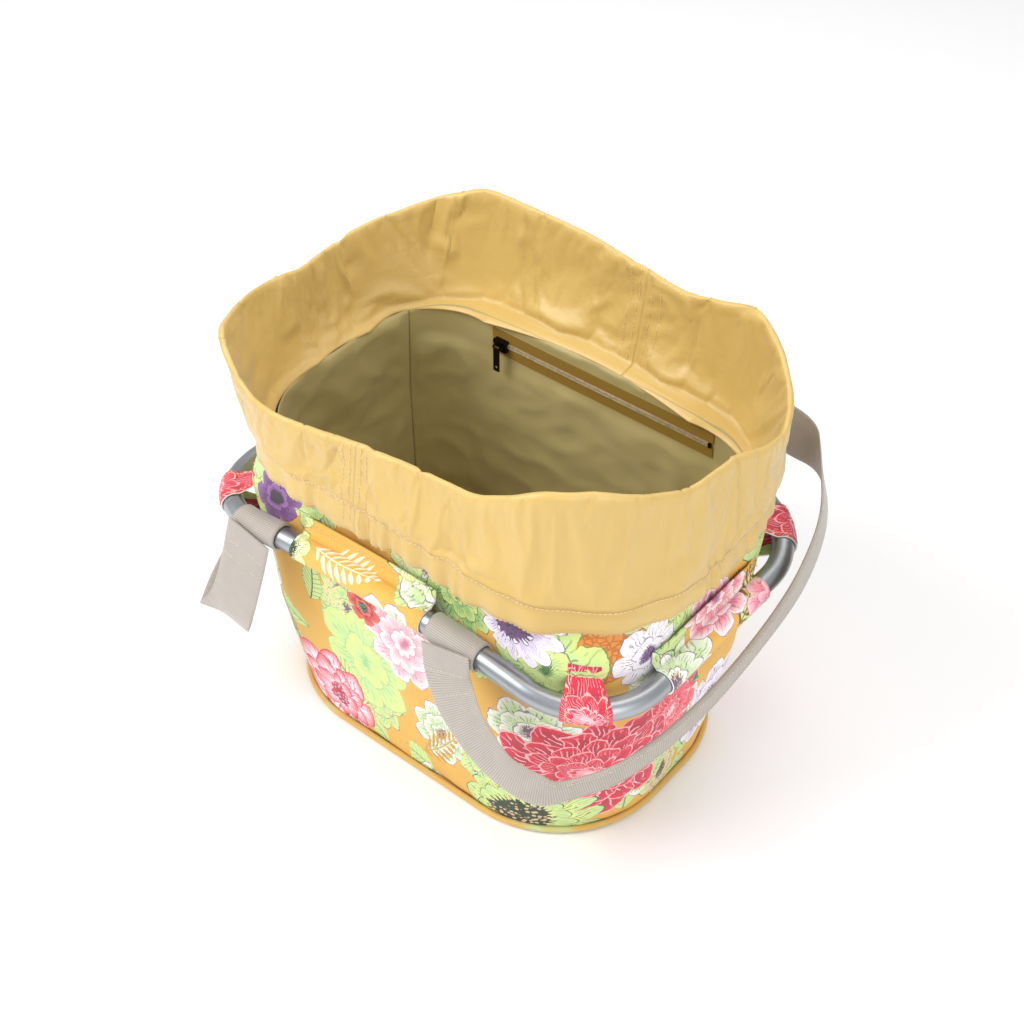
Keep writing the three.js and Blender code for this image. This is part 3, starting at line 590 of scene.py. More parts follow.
def printed_cloth():
    # Printed 600D polyester: matte, a faint sheen, yarns just visible close up.
    material, tree = new_material("printed polyester canvas")
    vector = uv(tree)
    colour = print_colour(tree, vector)
    cloth = weave(tree, vector, 0.9)
    worn = cloudy(tree, vector, 60.0, 4.0)
    colour = blend_colour(tree, mul(tree, worn, 0.05), colour, "#fff3d8")
    rough = mul_add(tree, worn, 0.14, 0.60)
    surface(tree, {"Base Color": colour, "Roughness": rough, "Sheen Weight": 0.12,
                   "Sheen Roughness": 0.5}, cloth, 0.00012, 0.6)
    return material


PRINT = printed_cloth()


def ripple(points, scale, seed, kind="soft"):
    """Perlin noise at points in mm: soft swells, or ridged creases."""
    flat = points.reshape(-1, 3)
    at = [Vector(p) / scale + Vector((seed * 7.3, seed * 3.1, seed * 5.7)) for p in flat.tolist()]
    if kind == "soft":
        values = [noise.noise(p) for p in at]
    else:
        values = [0.5 - abs(noise.noise(p)) * 2 for p in at]
    return np.array(values).reshape(points.shape[:-1])


CORNER_STATIONS = (12, 24, 40, 52)


def bag_face(u, z, inward=0.0):
    """Points on the printed cloth at stations u and heights z (same shape), in mm."""
    points = np.zeros(u.shape + (3,))
    normals = np.zeros(u.shape + (2,))
    for k in range(u.shape[1]):
        x, y, nx, ny = walk(bag_at(float(np.mean(z[:, k]))), u[:, k])
        points[:, k] = np.stack([x, y, z[:, k]], -1)
        normals[:, k] = np.stack([nx, ny], -1)
    swell = 3.0 * np.sin(np.pi * np.clip(z / 168, 0, 1))
    for c in CORNER_STATIONS:
        near = np.exp(-((np.mod(u - c + 28, 56) - 28) / 4.0) ** 2)
        swell += 5.5 * near * np.exp(-((z - 192) / 17) ** 2)
    swell += 1.5 * ripple(points, 70, 1) + 0.8 * ripple(points, 26, 2)
    swell += 0.9 * np.clip(ripple(points * (1, 1, 0.45), 30, 3, "creased"), 0, 1)
    swell -= inward
    points[..., :2] += normals * swell[..., None]
    return points


def bag_panel(name, node_name, u0, u1, count):
    u = np.linspace(u0, u1, count)
    rows = 64
    tops = rim_z(walk(RIM, u)[0])
    share = np.linspace(0, 1, rows)
    z = 3.4 + share[None, :] * (tops[:, None] - 3.4)
    uu = np.broadcast_to(u[:, None], z.shape)
    outer = bag_face(uu, z)
    inner = bag_face(uu[:, ::8], z[:, ::8], 2.6)[:, ::-1]
    grid = np.concatenate([outer, inner], 1)
    v = np.concatenate([z, z[:, ::8][:, ::-1]], 1)
    v = np.concatenate([v, v[:, :1]], 1)
    cloth_uv = np.stack(np.broadcast_arrays(girth(u)[:, None], v), -1)
    made = mesh_from(name, grid, False, True, cloth_uv, PRINT)
    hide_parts(node_name)
    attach(made, "bag")
    return made


bag_panel("bag_front_and_sides", "shell_wrap", 13.03, 50.97, 300)
bag_panel("bag_rear", "shell_rear", -5, 13, 130)

# ---------------------------------------------------------------- base and piping
# A coated base panel, closed round its edge with a cord wrapped in a bias strip.
def plain_cloth(name, first, second, pitch, rough=0.75, bump=0.00012):
    # Plain dyed weave with slightly uneven colour.
    material, tree = new_material(name)
    vector = uv(tree)
    tone = cloudy(tree, position(tree), 30.0, 4.0)
    colour = blend_colour(tree, tone, first, second)
    surface(tree, {"Base Color": colour, "Roughness": rough, "Sheen Weight": 0.15},
            weave(tree, vector, pitch), bump, 0.5)
    return material


def bias_tape():
    # The piping's strip is cut from the same print, so its colour runs from yellow to green.
    material, tree = new_material("bias strip of the print")
    tone = cloudy(tree, position(tree), 14.0, 2.0)
    green = mul(tree, calc(tree, "SUBTRACT", tone, 0.52), 14.0, clamp=True)
    colour = blend_colour(tree, green, "#d6ab56", "#bdcf90")
    surface(tree, {"Base Color": colour, "Roughness": 0.6, "Sheen Weight": 0.2},
            weave(tree, uv(tree), 0.7), 0.0001, 0.6)
    return material


PIPING = (309.5, 215.5, 87.75, 87.75, 0)      # its centreline, in the order BASE has
PIPING_R, PIPING_Z = 2.3, 2.8
piping = round_run("piping", PIPING, PIPING_R, lambda x: PIPING_Z + 0 * x,
                   bias_tape(), 336, 14)
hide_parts("base_piping")
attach(piping, "bag")

# ---------------------------------------------------------------- sleeves and corner loops
# Strips of the printed cloth, sewn flat to the bag above and below the tube and wrapped round it.
def reach(x, y, nx, ny, z):
    """Distance straight inwards from points outside the bag to the cloth at height z."""
    s = bag_at(z)
    best = np.full_like(x, 60.0)
    for d in np.linspace(2, 50, 97):
        px, py = x - nx * d, y - ny * d
        w, dd, rf, rr, _ = s
        r = np.where(py < 0, rf, rr)
        qx, qy = np.abs(px) - (w / 2 - r), np.abs(py) - (dd / 2 - r)
        dist = np.hypot(np.maximum(qx, 0), np.maximum(qy, 0)) + np.minimum(np.maximum(qx, qy), 0) - r
        best = np.where((dist < 0) & (best > 59), d, best)
    return best


SLEEVE_R = TUBE_R + 1.0


def sleeve(name, node_name, u0, u1, count, flange=13.0, cut_from=None):
    u = np.linspace(u0, u1, count)
    x, y, nx, ny = walk(RING, u)
    z = tube_z(x)
    high = reach(x, y, nx, ny, float(np.mean(z)) + flange) - 5.0
    low = reach(x, y, nx, ny, float(np.mean(z)) - flange) - 2.6
    r = SLEEVE_R
    stations = []
    for h, gap in ((flange + 8, high), (flange + 3, high), (flange - 1, high - 0.6)):
        stations.append((-gap, np.full_like(gap, h)))
    for a in np.radians(np.linspace(118, -112, 22)):
        stations.append((np.full_like(x, r * np.cos(a)), np.full_like(x, r * np.sin(a))))
    for h, gap in ((-flange + 1, low - 0.6), (-flange - 3, low), (-flange - 8, low)):
        stations.append((-gap, np.full_like(gap, h)))
    o = np.stack([s[0] for s in stations], 1)
    h = np.stack([s[1] for s in stations], 1)
    do, dh = np.gradient(o, axis=1), np.gradient(h, axis=1)
    length = np.hypot(do, dh)
    wave = 0.35 * ripple(np.stack([x[:, None] + 0 * o, y[:, None] + o, z[:, None] + h], -1), 14, 6)
    grids = []
    for t in (0.6, -0.6):
        shift = t + wave
        oo, hh = o - shift * dh / length, h + shift * do / length
        grids.append(np.stack([x[:, None] + nx[:, None] * oo, y[:, None] + ny[:, None] * oo,
                               z[:, None] + hh], -1))
    grid = np.concatenate([grids[0], grids[1][:, ::-1]], 1)
    run = np.cumsum(np.r_[0, np.mean(length, 0)[1:]])
    v = np.mean(z) + 20 - run
    v = np.concatenate([v, v[::-1], v[:1]])
    along = girth(u)
    if cut_from:
        along, v = along - np.mean(along) + cut_from[0], v - np.mean(v) + cut_from[1]
    cloth_uv = np.stack(np.meshgrid(along, v, indexing="ij"), -1)
    made = mesh_from(name, grid, False, True, cloth_uv, PRINT)
    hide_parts(node_name)
    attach(made, "bag")
    side = np.stack([nx, ny, 0 * nx], -1)
    rows = [grid[:, r] + side * 0.35 for r in (1, 2, 27)]
    for column in (2, count - 3):
        a = np.linspace(1.2, -1.2, 26)
        facing = np.stack([nx[column] * np.cos(a), ny[column] * np.cos(a), np.sin(a)], -1)
        rows.append(grid[column, 2:28] + facing * 0.3)
    return rows


def front_station(x):
    return 28 + 8 * (119 - x) / 238


def rear_station(x):
    return 8 * (119 + x) / 238


sleeve_rows = []
for side, start, end in (("front", front_station(40), front_station(-76)),
                         ("rear", rear_station(-76), rear_station(40)),
                         ("right", 16.4, 19.8), ("left", 44.2, 47.6)):
    sleeve_rows += sleeve("sleeve_" + side, "tunnel_" + side, start, end, 60)
for corner, station in (("rear_right", 12), ("front_right", 24.4), ("front_left", 40), ("rear_left", 52)):
    sleeve_rows += sleeve("loop_" + corner, "corner_loop_" + corner, station - 1.25, station + 1.25, 20,
                          cut_from=(160, 76))

# ---------------------------------------------------------------- collar
# Thin shiny nylon in two halves, sewn on at the rim, standing up and turned out into a cuff.
# The lower edge of the cuff is a drawcord channel, so it is gathered into small ruffles.
def lining_at(z):
    w, d, rf, rr, _ = bag_at(z)
    front = -(d / 2 - 3.65)
    rear = 112 - (171 - min(z, 171)) * (7 / 171) - 16
    radius = 76 + (52 - 76) * min(z / 171, 1)
    return (w - 9.3, rear - front, rf - 3.65, radius, (rear + front) / 2)


# The fold at the top, knot by knot: station round the rim, distance outwards, height.
FOLD = (
    (2.9, 15, 331), (6.7, 10, 322), (9.7, 12, 335), (12.9, 15, 306), (14.2, 15, 296),
    (17.7, 7, 309), (20.9, 5, 311), (23.8, 0, 325), (25.6, 1, 325), (28.1, -1, 303),
    (32.5, 3, 300), (36, 6, 290), (38.6, 16, 287), (40.3, 28, 310), (45.2, 20, 300),
    (50.7, 17, 312), (54.4, 14, 334),
)


def fold_at(u):
    k = np.array(FOLD, float)
    u = np.mod(u, STATIONS)
    knots = np.r_[k[-1, 0] - STATIONS, k[:, 0], k[0, 0] + STATIONS]
    values = [np.r_[k[-1, c], k[:, c], k[0, c]] for c in (1, 2)]
    spread = np.linspace(-0.35, 0.35, 5)
    return [np.mean([np.interp(np.mod(u + d, STATIONS), knots, v) for d in spread], 0) for v in values]


def collar_grid(u, rows=56):
    x, y, nx, ny = walk(RIM, u)
    base = rim_z(x) + 0.6
    out_fold, fold = fold_at(u)
    lx, ly, _, _ = walk(lining_at(236.0), u)
    to_lining = np.hypot(x - lx, y - ly)
    span = fold - base
    path = (
        (-to_lining, base + 0.4), (-1.9, base + 2.5), (out_fold * 0.2, base + span * 0.3),
        (out_fold * 0.62, base + span * 0.68), (out_fold - 2.2, fold - 5), (out_fold - 0.6, fold - 0.6),
        (out_fold + 1.8, fold - 2.5), (out_fold * 0.65 + 5, base + span * 0.66),
        (out_fold * 0.3 + 9, base + span * 0.3), (11.5, base + 2), (10.2, base - 3),
        (12.2, base - 12), (12.2, base - 22), (10.0, base - 25), (7.2, base - 23),
    )
    knots = (0, 0.04, 0.17, 0.32, 0.44, 0.47, 0.50, 0.62, 0.74, 0.85, 0.875, 0.92, 0.965, 0.985, 1)
    t = np.linspace(0, 1, rows)
    o = np.stack([np.interp(t, knots, [np.broadcast_to(p[0], u.shape)[i] for p in path])
                  for i in range(len(u))])
    z = np.stack([np.interp(t, knots, [p[1][i] for p in path]) for i in range(len(u))])
    return np.stack([x[:, None] + nx[:, None] * o, y[:, None] + ny[:, None] * o, z], -1), (nx, ny), t


def pleats(run, t, seed, count, height, width, first, last):
    """Sharp, slanting folds scattered over the cloth between two shares of its depth."""
    rng = np.random.default_rng(seed)
    total = np.zeros((len(run), len(t)))
    for _ in range(count):
        centre, slant = rng.uniform(run.min(), run.max()), rng.normal(0, 60)
        across = width * rng.uniform(0.6, 1.7)
        tall = height * rng.uniform(0.3, 1) * rng.choice((-1, 1))
        low, high = sorted(rng.uniform(first, last, 2))
        high = max(high, low + 0.12)
        s = (run[:, None] - centre - slant * (t[None, :] - low)) / across
        along = np.clip(np.minimum(t - low, high - t) / 0.07, 0, 1)
        total += tall * np.clip(1 - np.abs(s), 0, 1) ** 1.4 * smooth(along)[None, :]
    return total


def crumple(made, pinned, grow, frames, bending):
    """Lets cloth that is slightly too large for its pinned edges buckle, then keeps the shape."""
    pin = made.vertex_groups.new(name="pin")
    for k, weight in enumerate(pinned):
        if weight > 0:
            pin.add([k], float(weight), "REPLACE")
    cloth = made.modifiers.new("cloth", "CLOTH")
    s = cloth.settings
    s.quality = 6
    s.mass = 0.08
    s.tension_stiffness = s.compression_stiffness = 12
    s.shear_stiffness = 6
    s.bending_stiffness = bending
    s.shrink_min = -grow
    s.vertex_group_mass = "pin"
    s.effector_weights.gravity = 0.15
    cloth.collision_settings.use_collision = False
    cloth.point_cache.frame_end = frames
    for f in range(1, frames + 1):
        bpy.context.scene.frame_set(f)
    evaluated = made.evaluated_get(bpy.context.evaluated_depsgraph_get())
    moved = np.zeros(len(made.data.vertices) * 3, np.float32)
    evaluated.data.vertices.foreach_get("co", moved)
    made.modifiers.clear()
    made.vertex_groups.clear()
    bpy.context.scene.frame_set(1)
    return moved.reshape(-1, 3).astype(float)


def thin_nylon():
    # Plain nylon taffeta with a silky sheen, gold on the light side.
    material, tree = new_material("nylon taffeta")
    vector = uv(tree)
    tone = cloudy(tree, position(tree), 16.0, 4.0)
    colour = blend_colour(tree, tone, "#c9a75c", "#d6b76f")
    crinkle = cloudy(tree, vec(tree, "MULTIPLY", vector, (1, 1.6, 0)), 70.0, 5.0, 0.62)
    height = mul_add(tree, weave(tree, vector, 0.45), 0.03, crinkle)
    surface(tree, {"Base Color": colour, "Roughness": mul_add(tree, crinkle, 0.22, 0.22),
                   "Sheen Weight": 0.3, "Sheen Roughness": 0.35, "Specular IOR Level": 0.55,
                   "Anisotropic": 0.3}, height, 0.0012, 0.5)
    return material


NYLON = thin_nylon()
FRONT_SEAM = 28 + 8 * (71 + 22) / 142
REAR_SEAM = 8 * (91 + 28) / 182


def thicken(made, thickness, offset=0.0):
    """Gives a sheet its thickness and applies it."""
    solid = made.modifiers.new("thickness", "SOLIDIFY")
    solid.thickness = thickness * MM
    solid.offset = offset
    finished = bpy.data.meshes.new_from_object(made.evaluated_get(bpy.context.evaluated_depsgraph_get()))
    finished.name = made.data.name
    made.modifiers.clear()
    made.data = finished
    for polygon in finished.polygons:
        polygon.use_smooth = True
    return made


def collar_half(name, node_name, u0, u1, seed, count=340):
    u = np.linspace(u0, u1, count)
    grid, (nx, ny), t = collar_grid(u)
    rows = grid.shape[1]
    run = girth(u)
    # The strip as cut: the rim's run between the seams with the ease of the gathers, and its depth.
    rim_run = np.sum(np.hypot(*np.diff(np.stack(walk(RIM, u)[:2]), axis=1)))
    loose = smooth(np.minimum(t - 0.05, 0.87 - t) / 0.08)
    ends = smooth(np.minimum(np.arange(count), np.arange(count)[::-1]) / 8.0)
    start = 1.2 * ripple(grid * (1, 1, 0.6), 40, seed) + 0.5 * ripple(grid, 17, seed + 1)
    start += pleats(run, t, seed, 34, 3.4, 11, 0.05, 0.5) + pleats(run, t, seed + 1, 40, 2.6, 9, 0.5, 0.88)
    start *= loose[None, :] * ends[:, None]
    grid[..., :2] += np.stack([nx, ny], -1)[:, None, :] * start[..., None]
    drop = np.cumsum(np.r_[0, np.mean(np.linalg.norm(np.diff(grid, axis=1), axis=2), 0)])
    cloth_uv = np.stack(np.broadcast_arrays(run[:, None], drop[None, :]), -1)
    made = mesh_from(name, grid, cloth_uv=cloth_uv, material=NYLON)
    pins = np.zeros((count, rows))
    pins[:, t < 0.05] = pins[:, t > 0.87] = 1
    pins[:2, :] = pins[-2:, :] = 1
    pins[:, np.abs(t - 0.47) < 0.03] = 0.6
    moved = crumple(made, pins.ravel(), 0.035, 14, 0.02).reshape(grid.shape) / MM
    # The drawcord channel's gathers: short upright ruffles under its stitch line.
    channel = smooth((t - 0.865) / 0.05)[None, :]
    ruffle = 0.9 * np.sin(run / 3.1 + 2.6 * np.sin(run / 17.0)) + 0.8 * np.sin(run / 5.3 + 1.7)
    above = np.exp(-((t - 0.84) / 0.035) ** 2)[None, :]
    out = 1.2 * ruffle[:, None] * channel + 0.8 * ruffle[:, None] * above
    moved[..., :2] += np.stack([nx, ny], -1)[:, None, :] * out[..., None]
    sag = 1.6 * np.sin(run / 23.0) + 0.9 * np.sin(run / 7.7)
    moved[..., 2] += sag[:, None] * channel
    moved = np.clip(moved, grid - 12, grid + 12)
    made.data.vertices.foreach_set("co", (moved * MM).ravel())
    made.data.update()
    thicken(made, 0.9)
    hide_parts(node_name)
    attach(made, "bag")
    rows_of = [int(np.argmin(np.abs(t - share))) for share in (0.862, 0.872, 0.978)]
    seam = np.stack([nx, ny, 0 * nx], -1)
    paths = [moved[2:-2, r] + seam[2:-2] * 0.8 for r in rows_of]
    for column in (3, 7, count - 8, count - 4):
        facing = np.where(t < 0.47, -1, 1)[:, None] * seam[column][None, :]
        paths.append((moved[column] + facing * 0.8)[3:-4])
    return paths


collar_rows = collar_half("collar_right_half", "collar_right", REAR_SEAM, FRONT_SEAM, 11)
collar_rows += collar_half("collar_left_half", "collar_left", FRONT_SEAM, STATIONS + REAR_SEAM, 15)


def thread(name, colour):
    # Twisted polyester sewing thread.
    material, tree = new_material(name)
    twist = node(tree, "ShaderNodeTexWave", {"Vector": position(tree), "Scale": 900.0}).outputs[1]
    tone = blend_colour(tree, cloudy(tree, position(tree), 400.0), colour, "#fff2cf")
    surface(tree, {"Base Color": tone, "Roughness": 0.6, "Sheen Weight": 0.3}, twist, 0.00005, 0.5)
    return material


def stitches(name, paths, material, pitch=3.2, length=2.3, thick=0.55, body="bag"):
    """Rows of short stitches along paths in mm, made by a node tree and then kept as a mesh."""
    mesh = bpy.data.meshes.new(name)
    points, edges = [], []
    for path in paths:
        first = len(points)
        points += (np.asarray(path) * MM).tolist()
        edges += [(first + k, first + k + 1) for k in range(len(path) - 1)]
    mesh.from_pydata(points, edges, [])
    made = bpy.data.objects.new(name, mesh)
    bpy.context.scene.collection.objects.link(made)
    tree = bpy.data.node_groups.new("stitching", "GeometryNodeTree")
    tree.interface.new_socket("Rows", in_out="INPUT", socket_type="NodeSocketGeometry")
    for label, value in (("Pitch", pitch * MM), ("Length", length * MM), ("Thickness", thick * MM)):
        tree.interface.new_socket(label, in_out="INPUT", socket_type=FLOAT).default_value = value
    tree.interface.new_socket("Stitches", in_out="OUTPUT", socket_type="NodeSocketGeometry")
    i = tree.nodes.new("NodeGroupInput").outputs
    out = tree.nodes.new("NodeGroupOutput")
    rows = node(tree, "GeometryNodeMeshToCurve", {0: i["Rows"]}).outputs[0]
    at = node(tree, "GeometryNodeCurveToPoints", {"Curve": rows, "Length": i["Pitch"]}, mode="LENGTH")
    capsule = node(tree, "GeometryNodeMeshUVSphere", {"Segments": 6, "Rings": 5, "Radius": 0.5})
    size = node(tree, "ShaderNodeCombineXYZ", {0: i["Thickness"], 1: i["Thickness"], 2: i["Length"]})
    placed_at = node(tree, "GeometryNodeInstanceOnPoints", {
        "Points": at.outputs[0], "Instance": capsule.outputs[0], "Rotation": at.outputs["Rotation"],
        "Scale": size.outputs[0]})
    real = node(tree, "GeometryNodeRealizeInstances", {0: placed_at.outputs[0]})
    finish = node(tree, "GeometryNodeSetMaterial", {0: real.outputs[0], "Material": material})
    tree.links.new(finish.outputs[0], out.inputs[0])
    modifier = made.modifiers.new("stitching", "NODES")
    modifier.node_group = tree
    finished = bpy.data.meshes.new_from_object(made.evaluated_get(bpy.context.evaluated_depsgraph_get()))
    made.modifiers.clear()
    made.data = finished
    finished.polygons.foreach_set("use_smooth", [True] * len(finished.polygons))
    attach(made, body)
    return made


GOLD_THREAD = thread("gold thread", "#dba23a")
stitches("collar_stitches", collar_rows, GOLD_THREAD)
stitches("sleeve_stitches", sleeve_rows, GOLD_THREAD)

# ---------------------------------------------------------------- lining
# Thin khaki polyester inside the bag: a wrap for front and sides, a rear panel with the zip.
def lining_cloth():
    # Uncoated lining weave, khaki in the shade of the bag.
    material, tree = new_material("polyester lining")
    vector = uv(tree)
    tone = cloudy(tree, position(tree), 12.0, 4.0)
    colour = blend_colour(tree, tone, "#a39561", "#b9aa72")
    crinkle = cloudy(tree, vector, 55.0, 5.0, 0.6)
    height = mul_add(tree, weave(tree, vector, 0.5), 0.05, crinkle)
    surface(tree, {"Base Color": colour, "Roughness": 0.55, "Sheen Weight": 0.2}, height, 0.0010, 0.5)
    return material


LINING = lining_cloth()


def lining_panel(name, node_name, u0, u1, count, seed):
    u = np.linspace(u0, u1, count)
    tops = rim_z(walk(RIM, u)[0]) + 1.5
    z = 7.6 + np.linspace(0, 1, 70)[None, :] * (tops[:, None] - 7.6)
    points = np.zeros(z.shape + (3,))
    normals = np.zeros(z.shape + (2,))
    for k in range(z.shape[1]):
        x, y, nx, ny = walk(lining_at(float(np.mean(z[:, k]))), u)
        points[:, k] = np.stack([x, y, z[:, k]], -1)
        normals[:, k] = np.stack([nx, ny], -1)
    loose = 2.6 * ripple(points * (1, 1, 0.5), 42, seed) + 1.6 * ripple(points, 20, seed + 1)
    loose += 1.7 * np.clip(ripple(points * (0.7, 0.7, 1), 24, seed + 2, "creased"), -0.3, 1)
    flat = np.ones_like(z)
    if seed == 40:
        flat = smooth((np.abs(z - 230) - 12.5) / 8)
        loose += 3.0 * ripple(points, 10, 44) * np.clip((z - 238) / 6, 0, 1)
    edge = np.minimum(np.arange(count), np.arange(count)[::-1])[:, None] / 6.0
    flat = flat * np.clip(edge, 0, 1) * np.clip((tops[:, None] - z) / 6, 0, 1)
    inward = 1.1 + 1.8 * flat + loose * flat
    points[..., :2] -= normals * np.maximum(inward, 0.4)[..., None]
    cloth_uv = np.stack(np.broadcast_arrays(girth(u)[:, None], z), -1)
    made = mesh_from(name, points, cloth_uv=cloth_uv, material=LINING)
    thicken(made, 0.6)
    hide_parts(node_name)
    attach(made, "bag")
    return made


lining_panel("lining_front_and_sides", "lining_wrap", 13.03, 50.97, 260, 30)
lining_panel("lining_rear_panel", "lining_rear", -5, 13, 150, 40)
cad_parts["lining_base"].data.materials.clear()
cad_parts["lining_base"].data.materials.append(plain_cloth(
    "lining floor", "#a09260", "#b3a56f", 0.5))

# ---------------------------------------------------------------- handles
# Ribbed polypropylene webbing, 40 mm, its ends folded round the tube and sewn.
# The middle of each handle is folded in half and stitched into a grip.
def ribbed_webbing():
    # Taupe webbing: fine ribs across it, with painted shade darkening the grooves between them, slightly
    # glossy yarn.
    material, tree = new_material("ribbed webbing")
    vector = uv(tree)
    split = node(tree, "ShaderNodeSeparateXYZ", {0: vector}).outputs
    rib = calc(tree, "SINE", mul(tree, split[1], 2 * math.pi / 0.0015))
    yarn = calc(tree, "SINE", mul(tree, split[0], 2 * math.pi / 0.0011))
    height = mul_add(tree, mul(tree, yarn, 0.35), rib, rib)
    tone = cloudy(tree, vector, 70.0, 4.0)
    colour = blend_colour(tree, tone, "#aea59b", "#c0b7ae")
    # painted shade: the colour darkens in the grooves between the ribs
    painted_groove_shade = mul_add(tree, rib, -0.22, 0.22)
    colour = blend_colour(tree, painted_groove_shade, colour, "#6f675f")
    surface(tree, {"Base Color": colour, "Roughness": 0.55, "Sheen Weight": 0.35,
                   "Sheen Roughness": 0.4}, height, 0.00016, 0.6)
    return material


WEBBING = ribbed_webbing()
GREY_THREAD = thread("taupe thread", "#8d857c")
OUT_Y = 137.55        # middle of the webbing where it hangs on the tube
WIDE, GRIP_RIGHT, GRIP_LEFT = (40, 2), (17, 4), (20, 4)


def catmull(knots, count):
    """Smooth path through rows of knots, at even steps of the knot number."""
    k = np.asarray(knots, float)
    padded = np.vstack([2 * k[0] - k[1], k, 2 * k[-1] - k[-2]])
    t = np.linspace(0, len(k) - 1, count)
    i = np.minimum(t.astype(int), len(k) - 2)
    f = (t - i)[:, None]
    a, b, c, d = (padded[i + n] for n in range(4))
    square, cube = 2 * a - 5 * b + 4 * c - d, 3 * b - a - 3 * c + d
    return 0.5 * (2 * b + (c - a) * f + square * f ** 2 + cube * f ** 3)


def strap(name, knots, count=260):
    """Webbing with rounded edges along knots of x, y, z, across x, y, z, width, thickness."""
    k = catmull(knots, count)
    centre, across = k[:, :3], k[:, 3:6]
    along = np.gradient(centre, axis=0)
    along /= np.linalg.norm(along, axis=1)[:, None]
    across -= along * np.sum(across * along, 1)[:, None]
    across /= np.linalg.norm(across, axis=1)[:, None]
    up = np.cross(across, along)
    width, thick = k[:, 6:7], k[:, 7:8]
    s = np.array([-1, -0.985, -0.9, -0.6, -0.3, 0, 0.3, 0.6, 0.9, 0.985, 1])
    lift = np.sqrt(np.clip(1 - np.abs(s) ** 14, 0, 1)) * 0.5
    side = np.concatenate([s, s[-2:0:-1]])
    rise = np.concatenate([lift, -lift[-2:0:-1]])
    grid = (centre[:, None] + across[:, None] * (side[None, :, None] * width[:, None] / 2)
            + up[:, None] * (rise[None, :, None] * thick[:, None]))
    run = np.cumsum(np.r_[0, np.linalg.norm(np.diff(centre, axis=0), axis=1)])
    v = np.broadcast_to(run[:, None], (count, len(side) + 1))
    u = np.concatenate([side, side[:1]])[None, :] * width / 2
    made = mesh_from(name, grid, False, True, np.stack([u, v], -1), WEBBING)
    body = "handle_right" if "right" in name else "handle_left"
    rows = []
    for face in (1, -1):
        for edge in (0.80, -0.80):
            row = centre + across * edge * width / 2 + up * face * thick * 0.52
            rows.append(row[(k[:, 6] < 33)])
    for end in (slice(14, 15), slice(24, 25), slice(-15, -14), slice(-25, -24)):
        for face in (1, -1):
            c, a, w = centre[end][0], across[end][0], width[end][0, 0]
            rows.append([c + a * f * w * 0.4 + up[end][0] * face * thick[end][0, 0] * 0.52
                         for f in np.linspace(-1, 1, 12)])
    stitches(name + "_stitches", rows, GREY_THREAD, 2.8, 2.1, 0.5, body)
    return made


RIGHT_X, LEFT_X = 66.0, -112.0
RIGHT_Z, LEFT_Z = float(tube_z(RIGHT_X)), float(tube_z(LEFT_X))
handle_right = strap("handle_strap_right", (
    (RIGHT_X, -OUT_Y, RIGHT_Z + 3, 1, 0, 0, *WIDE),
    (RIGHT_X + 5, -OUT_Y - 3, RIGHT_Z - 18, 1, 0, 0.1, *WIDE),
    (RIGHT_X + 24, -OUT_Y - 9, 146, 0.9, 0, 0.4, *WIDE),
    (RIGHT_X + 54, -OUT_Y - 11, 126, 0.75, 0, 0.65, *WIDE),
    (RIGHT_X + 82, -OUT_Y - 5, 119, 0.5, 0.15, 0.85, 33, 2.4),
    (RIGHT_X + 98, -130, 121, 0.1, 0.1, 1, 18, 4),
    (RIGHT_X + 119, -100, 130, 0, 0.1, 1, *GRIP_RIGHT),
    (RIGHT_X + 130, -40, 138, 0, 0, 1, *GRIP_RIGHT),
    (RIGHT_X + 132, 30, 152, 0, 0, 1, *GRIP_RIGHT),
    (RIGHT_X + 130, 82, 172, 0, -0.3, 1, 26, 3),
    (RIGHT_X + 118, 122, 196, 0, -0.4, 1, 32, 2),
    (RIGHT_X + 90, OUT_Y + 10, 217, -0.3, 0, 0.95, *WIDE),
    (RIGHT_X + 50, OUT_Y + 10, 226, -0.3, 0, 1, *WIDE),
    (RIGHT_X + 14, OUT_Y + 4, 212, -0.8, 0, 0.6, *WIDE),
    (RIGHT_X + 2, OUT_Y + 0.6, RIGHT_Z + 8, -0.98, 0, 0.2, *WIDE),
    (RIGHT_X, OUT_Y + 0.4, RIGHT_Z - 1, -0.98, 0, 0.2, *WIDE)))
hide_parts("handle_right")
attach(handle_right, "handle_right")
handle_left = strap("handle_strap_left", (
    (LEFT_X, -OUT_Y, LEFT_Z + 3, -1, 0, 0, *WIDE),
    (LEFT_X - 5, -OUT_Y - 4, 159, -1, 0, 0, *WIDE),
    (LEFT_X - 12, -OUT_Y - 9, 128, -1, 0, 0, *WIDE),
    (LEFT_X - 24, -OUT_Y - 9, 100, -1, 0, 0.05, *WIDE),
    (LEFT_X - 39, -136, 87, -1, 0, 0.1, *WIDE),
    (LEFT_X - 56, -110, 91, -0.9, 0, 0.45, 34, 2),
    (LEFT_X - 76, -62, 109, -0.35, 0, 0.9, 22, 4),
    (LEFT_X - 83, 0, 124, 0, 0, 1, *GRIP_LEFT),
    (LEFT_X - 79, 58, 126, 0, 0, 1, *GRIP_LEFT),
    (LEFT_X - 60, 112, 122, -0.1, 0, 1, 24, 3),
    (LEFT_X - 30, OUT_Y + 8, 128, -0.6, 0, 0.8, 36, 2),
    (LEFT_X - 8, OUT_Y + 6, 150, -0.95, 0, 0.3, *WIDE),
    (LEFT_X, OUT_Y, LEFT_Z + 1, -1, 0, 0, *WIDE)))
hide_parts("handle_left")
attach(handle_left, "handle_left")


LOOP_RADII = (TUBE_R + 2.2, TUBE_R + 0.6)


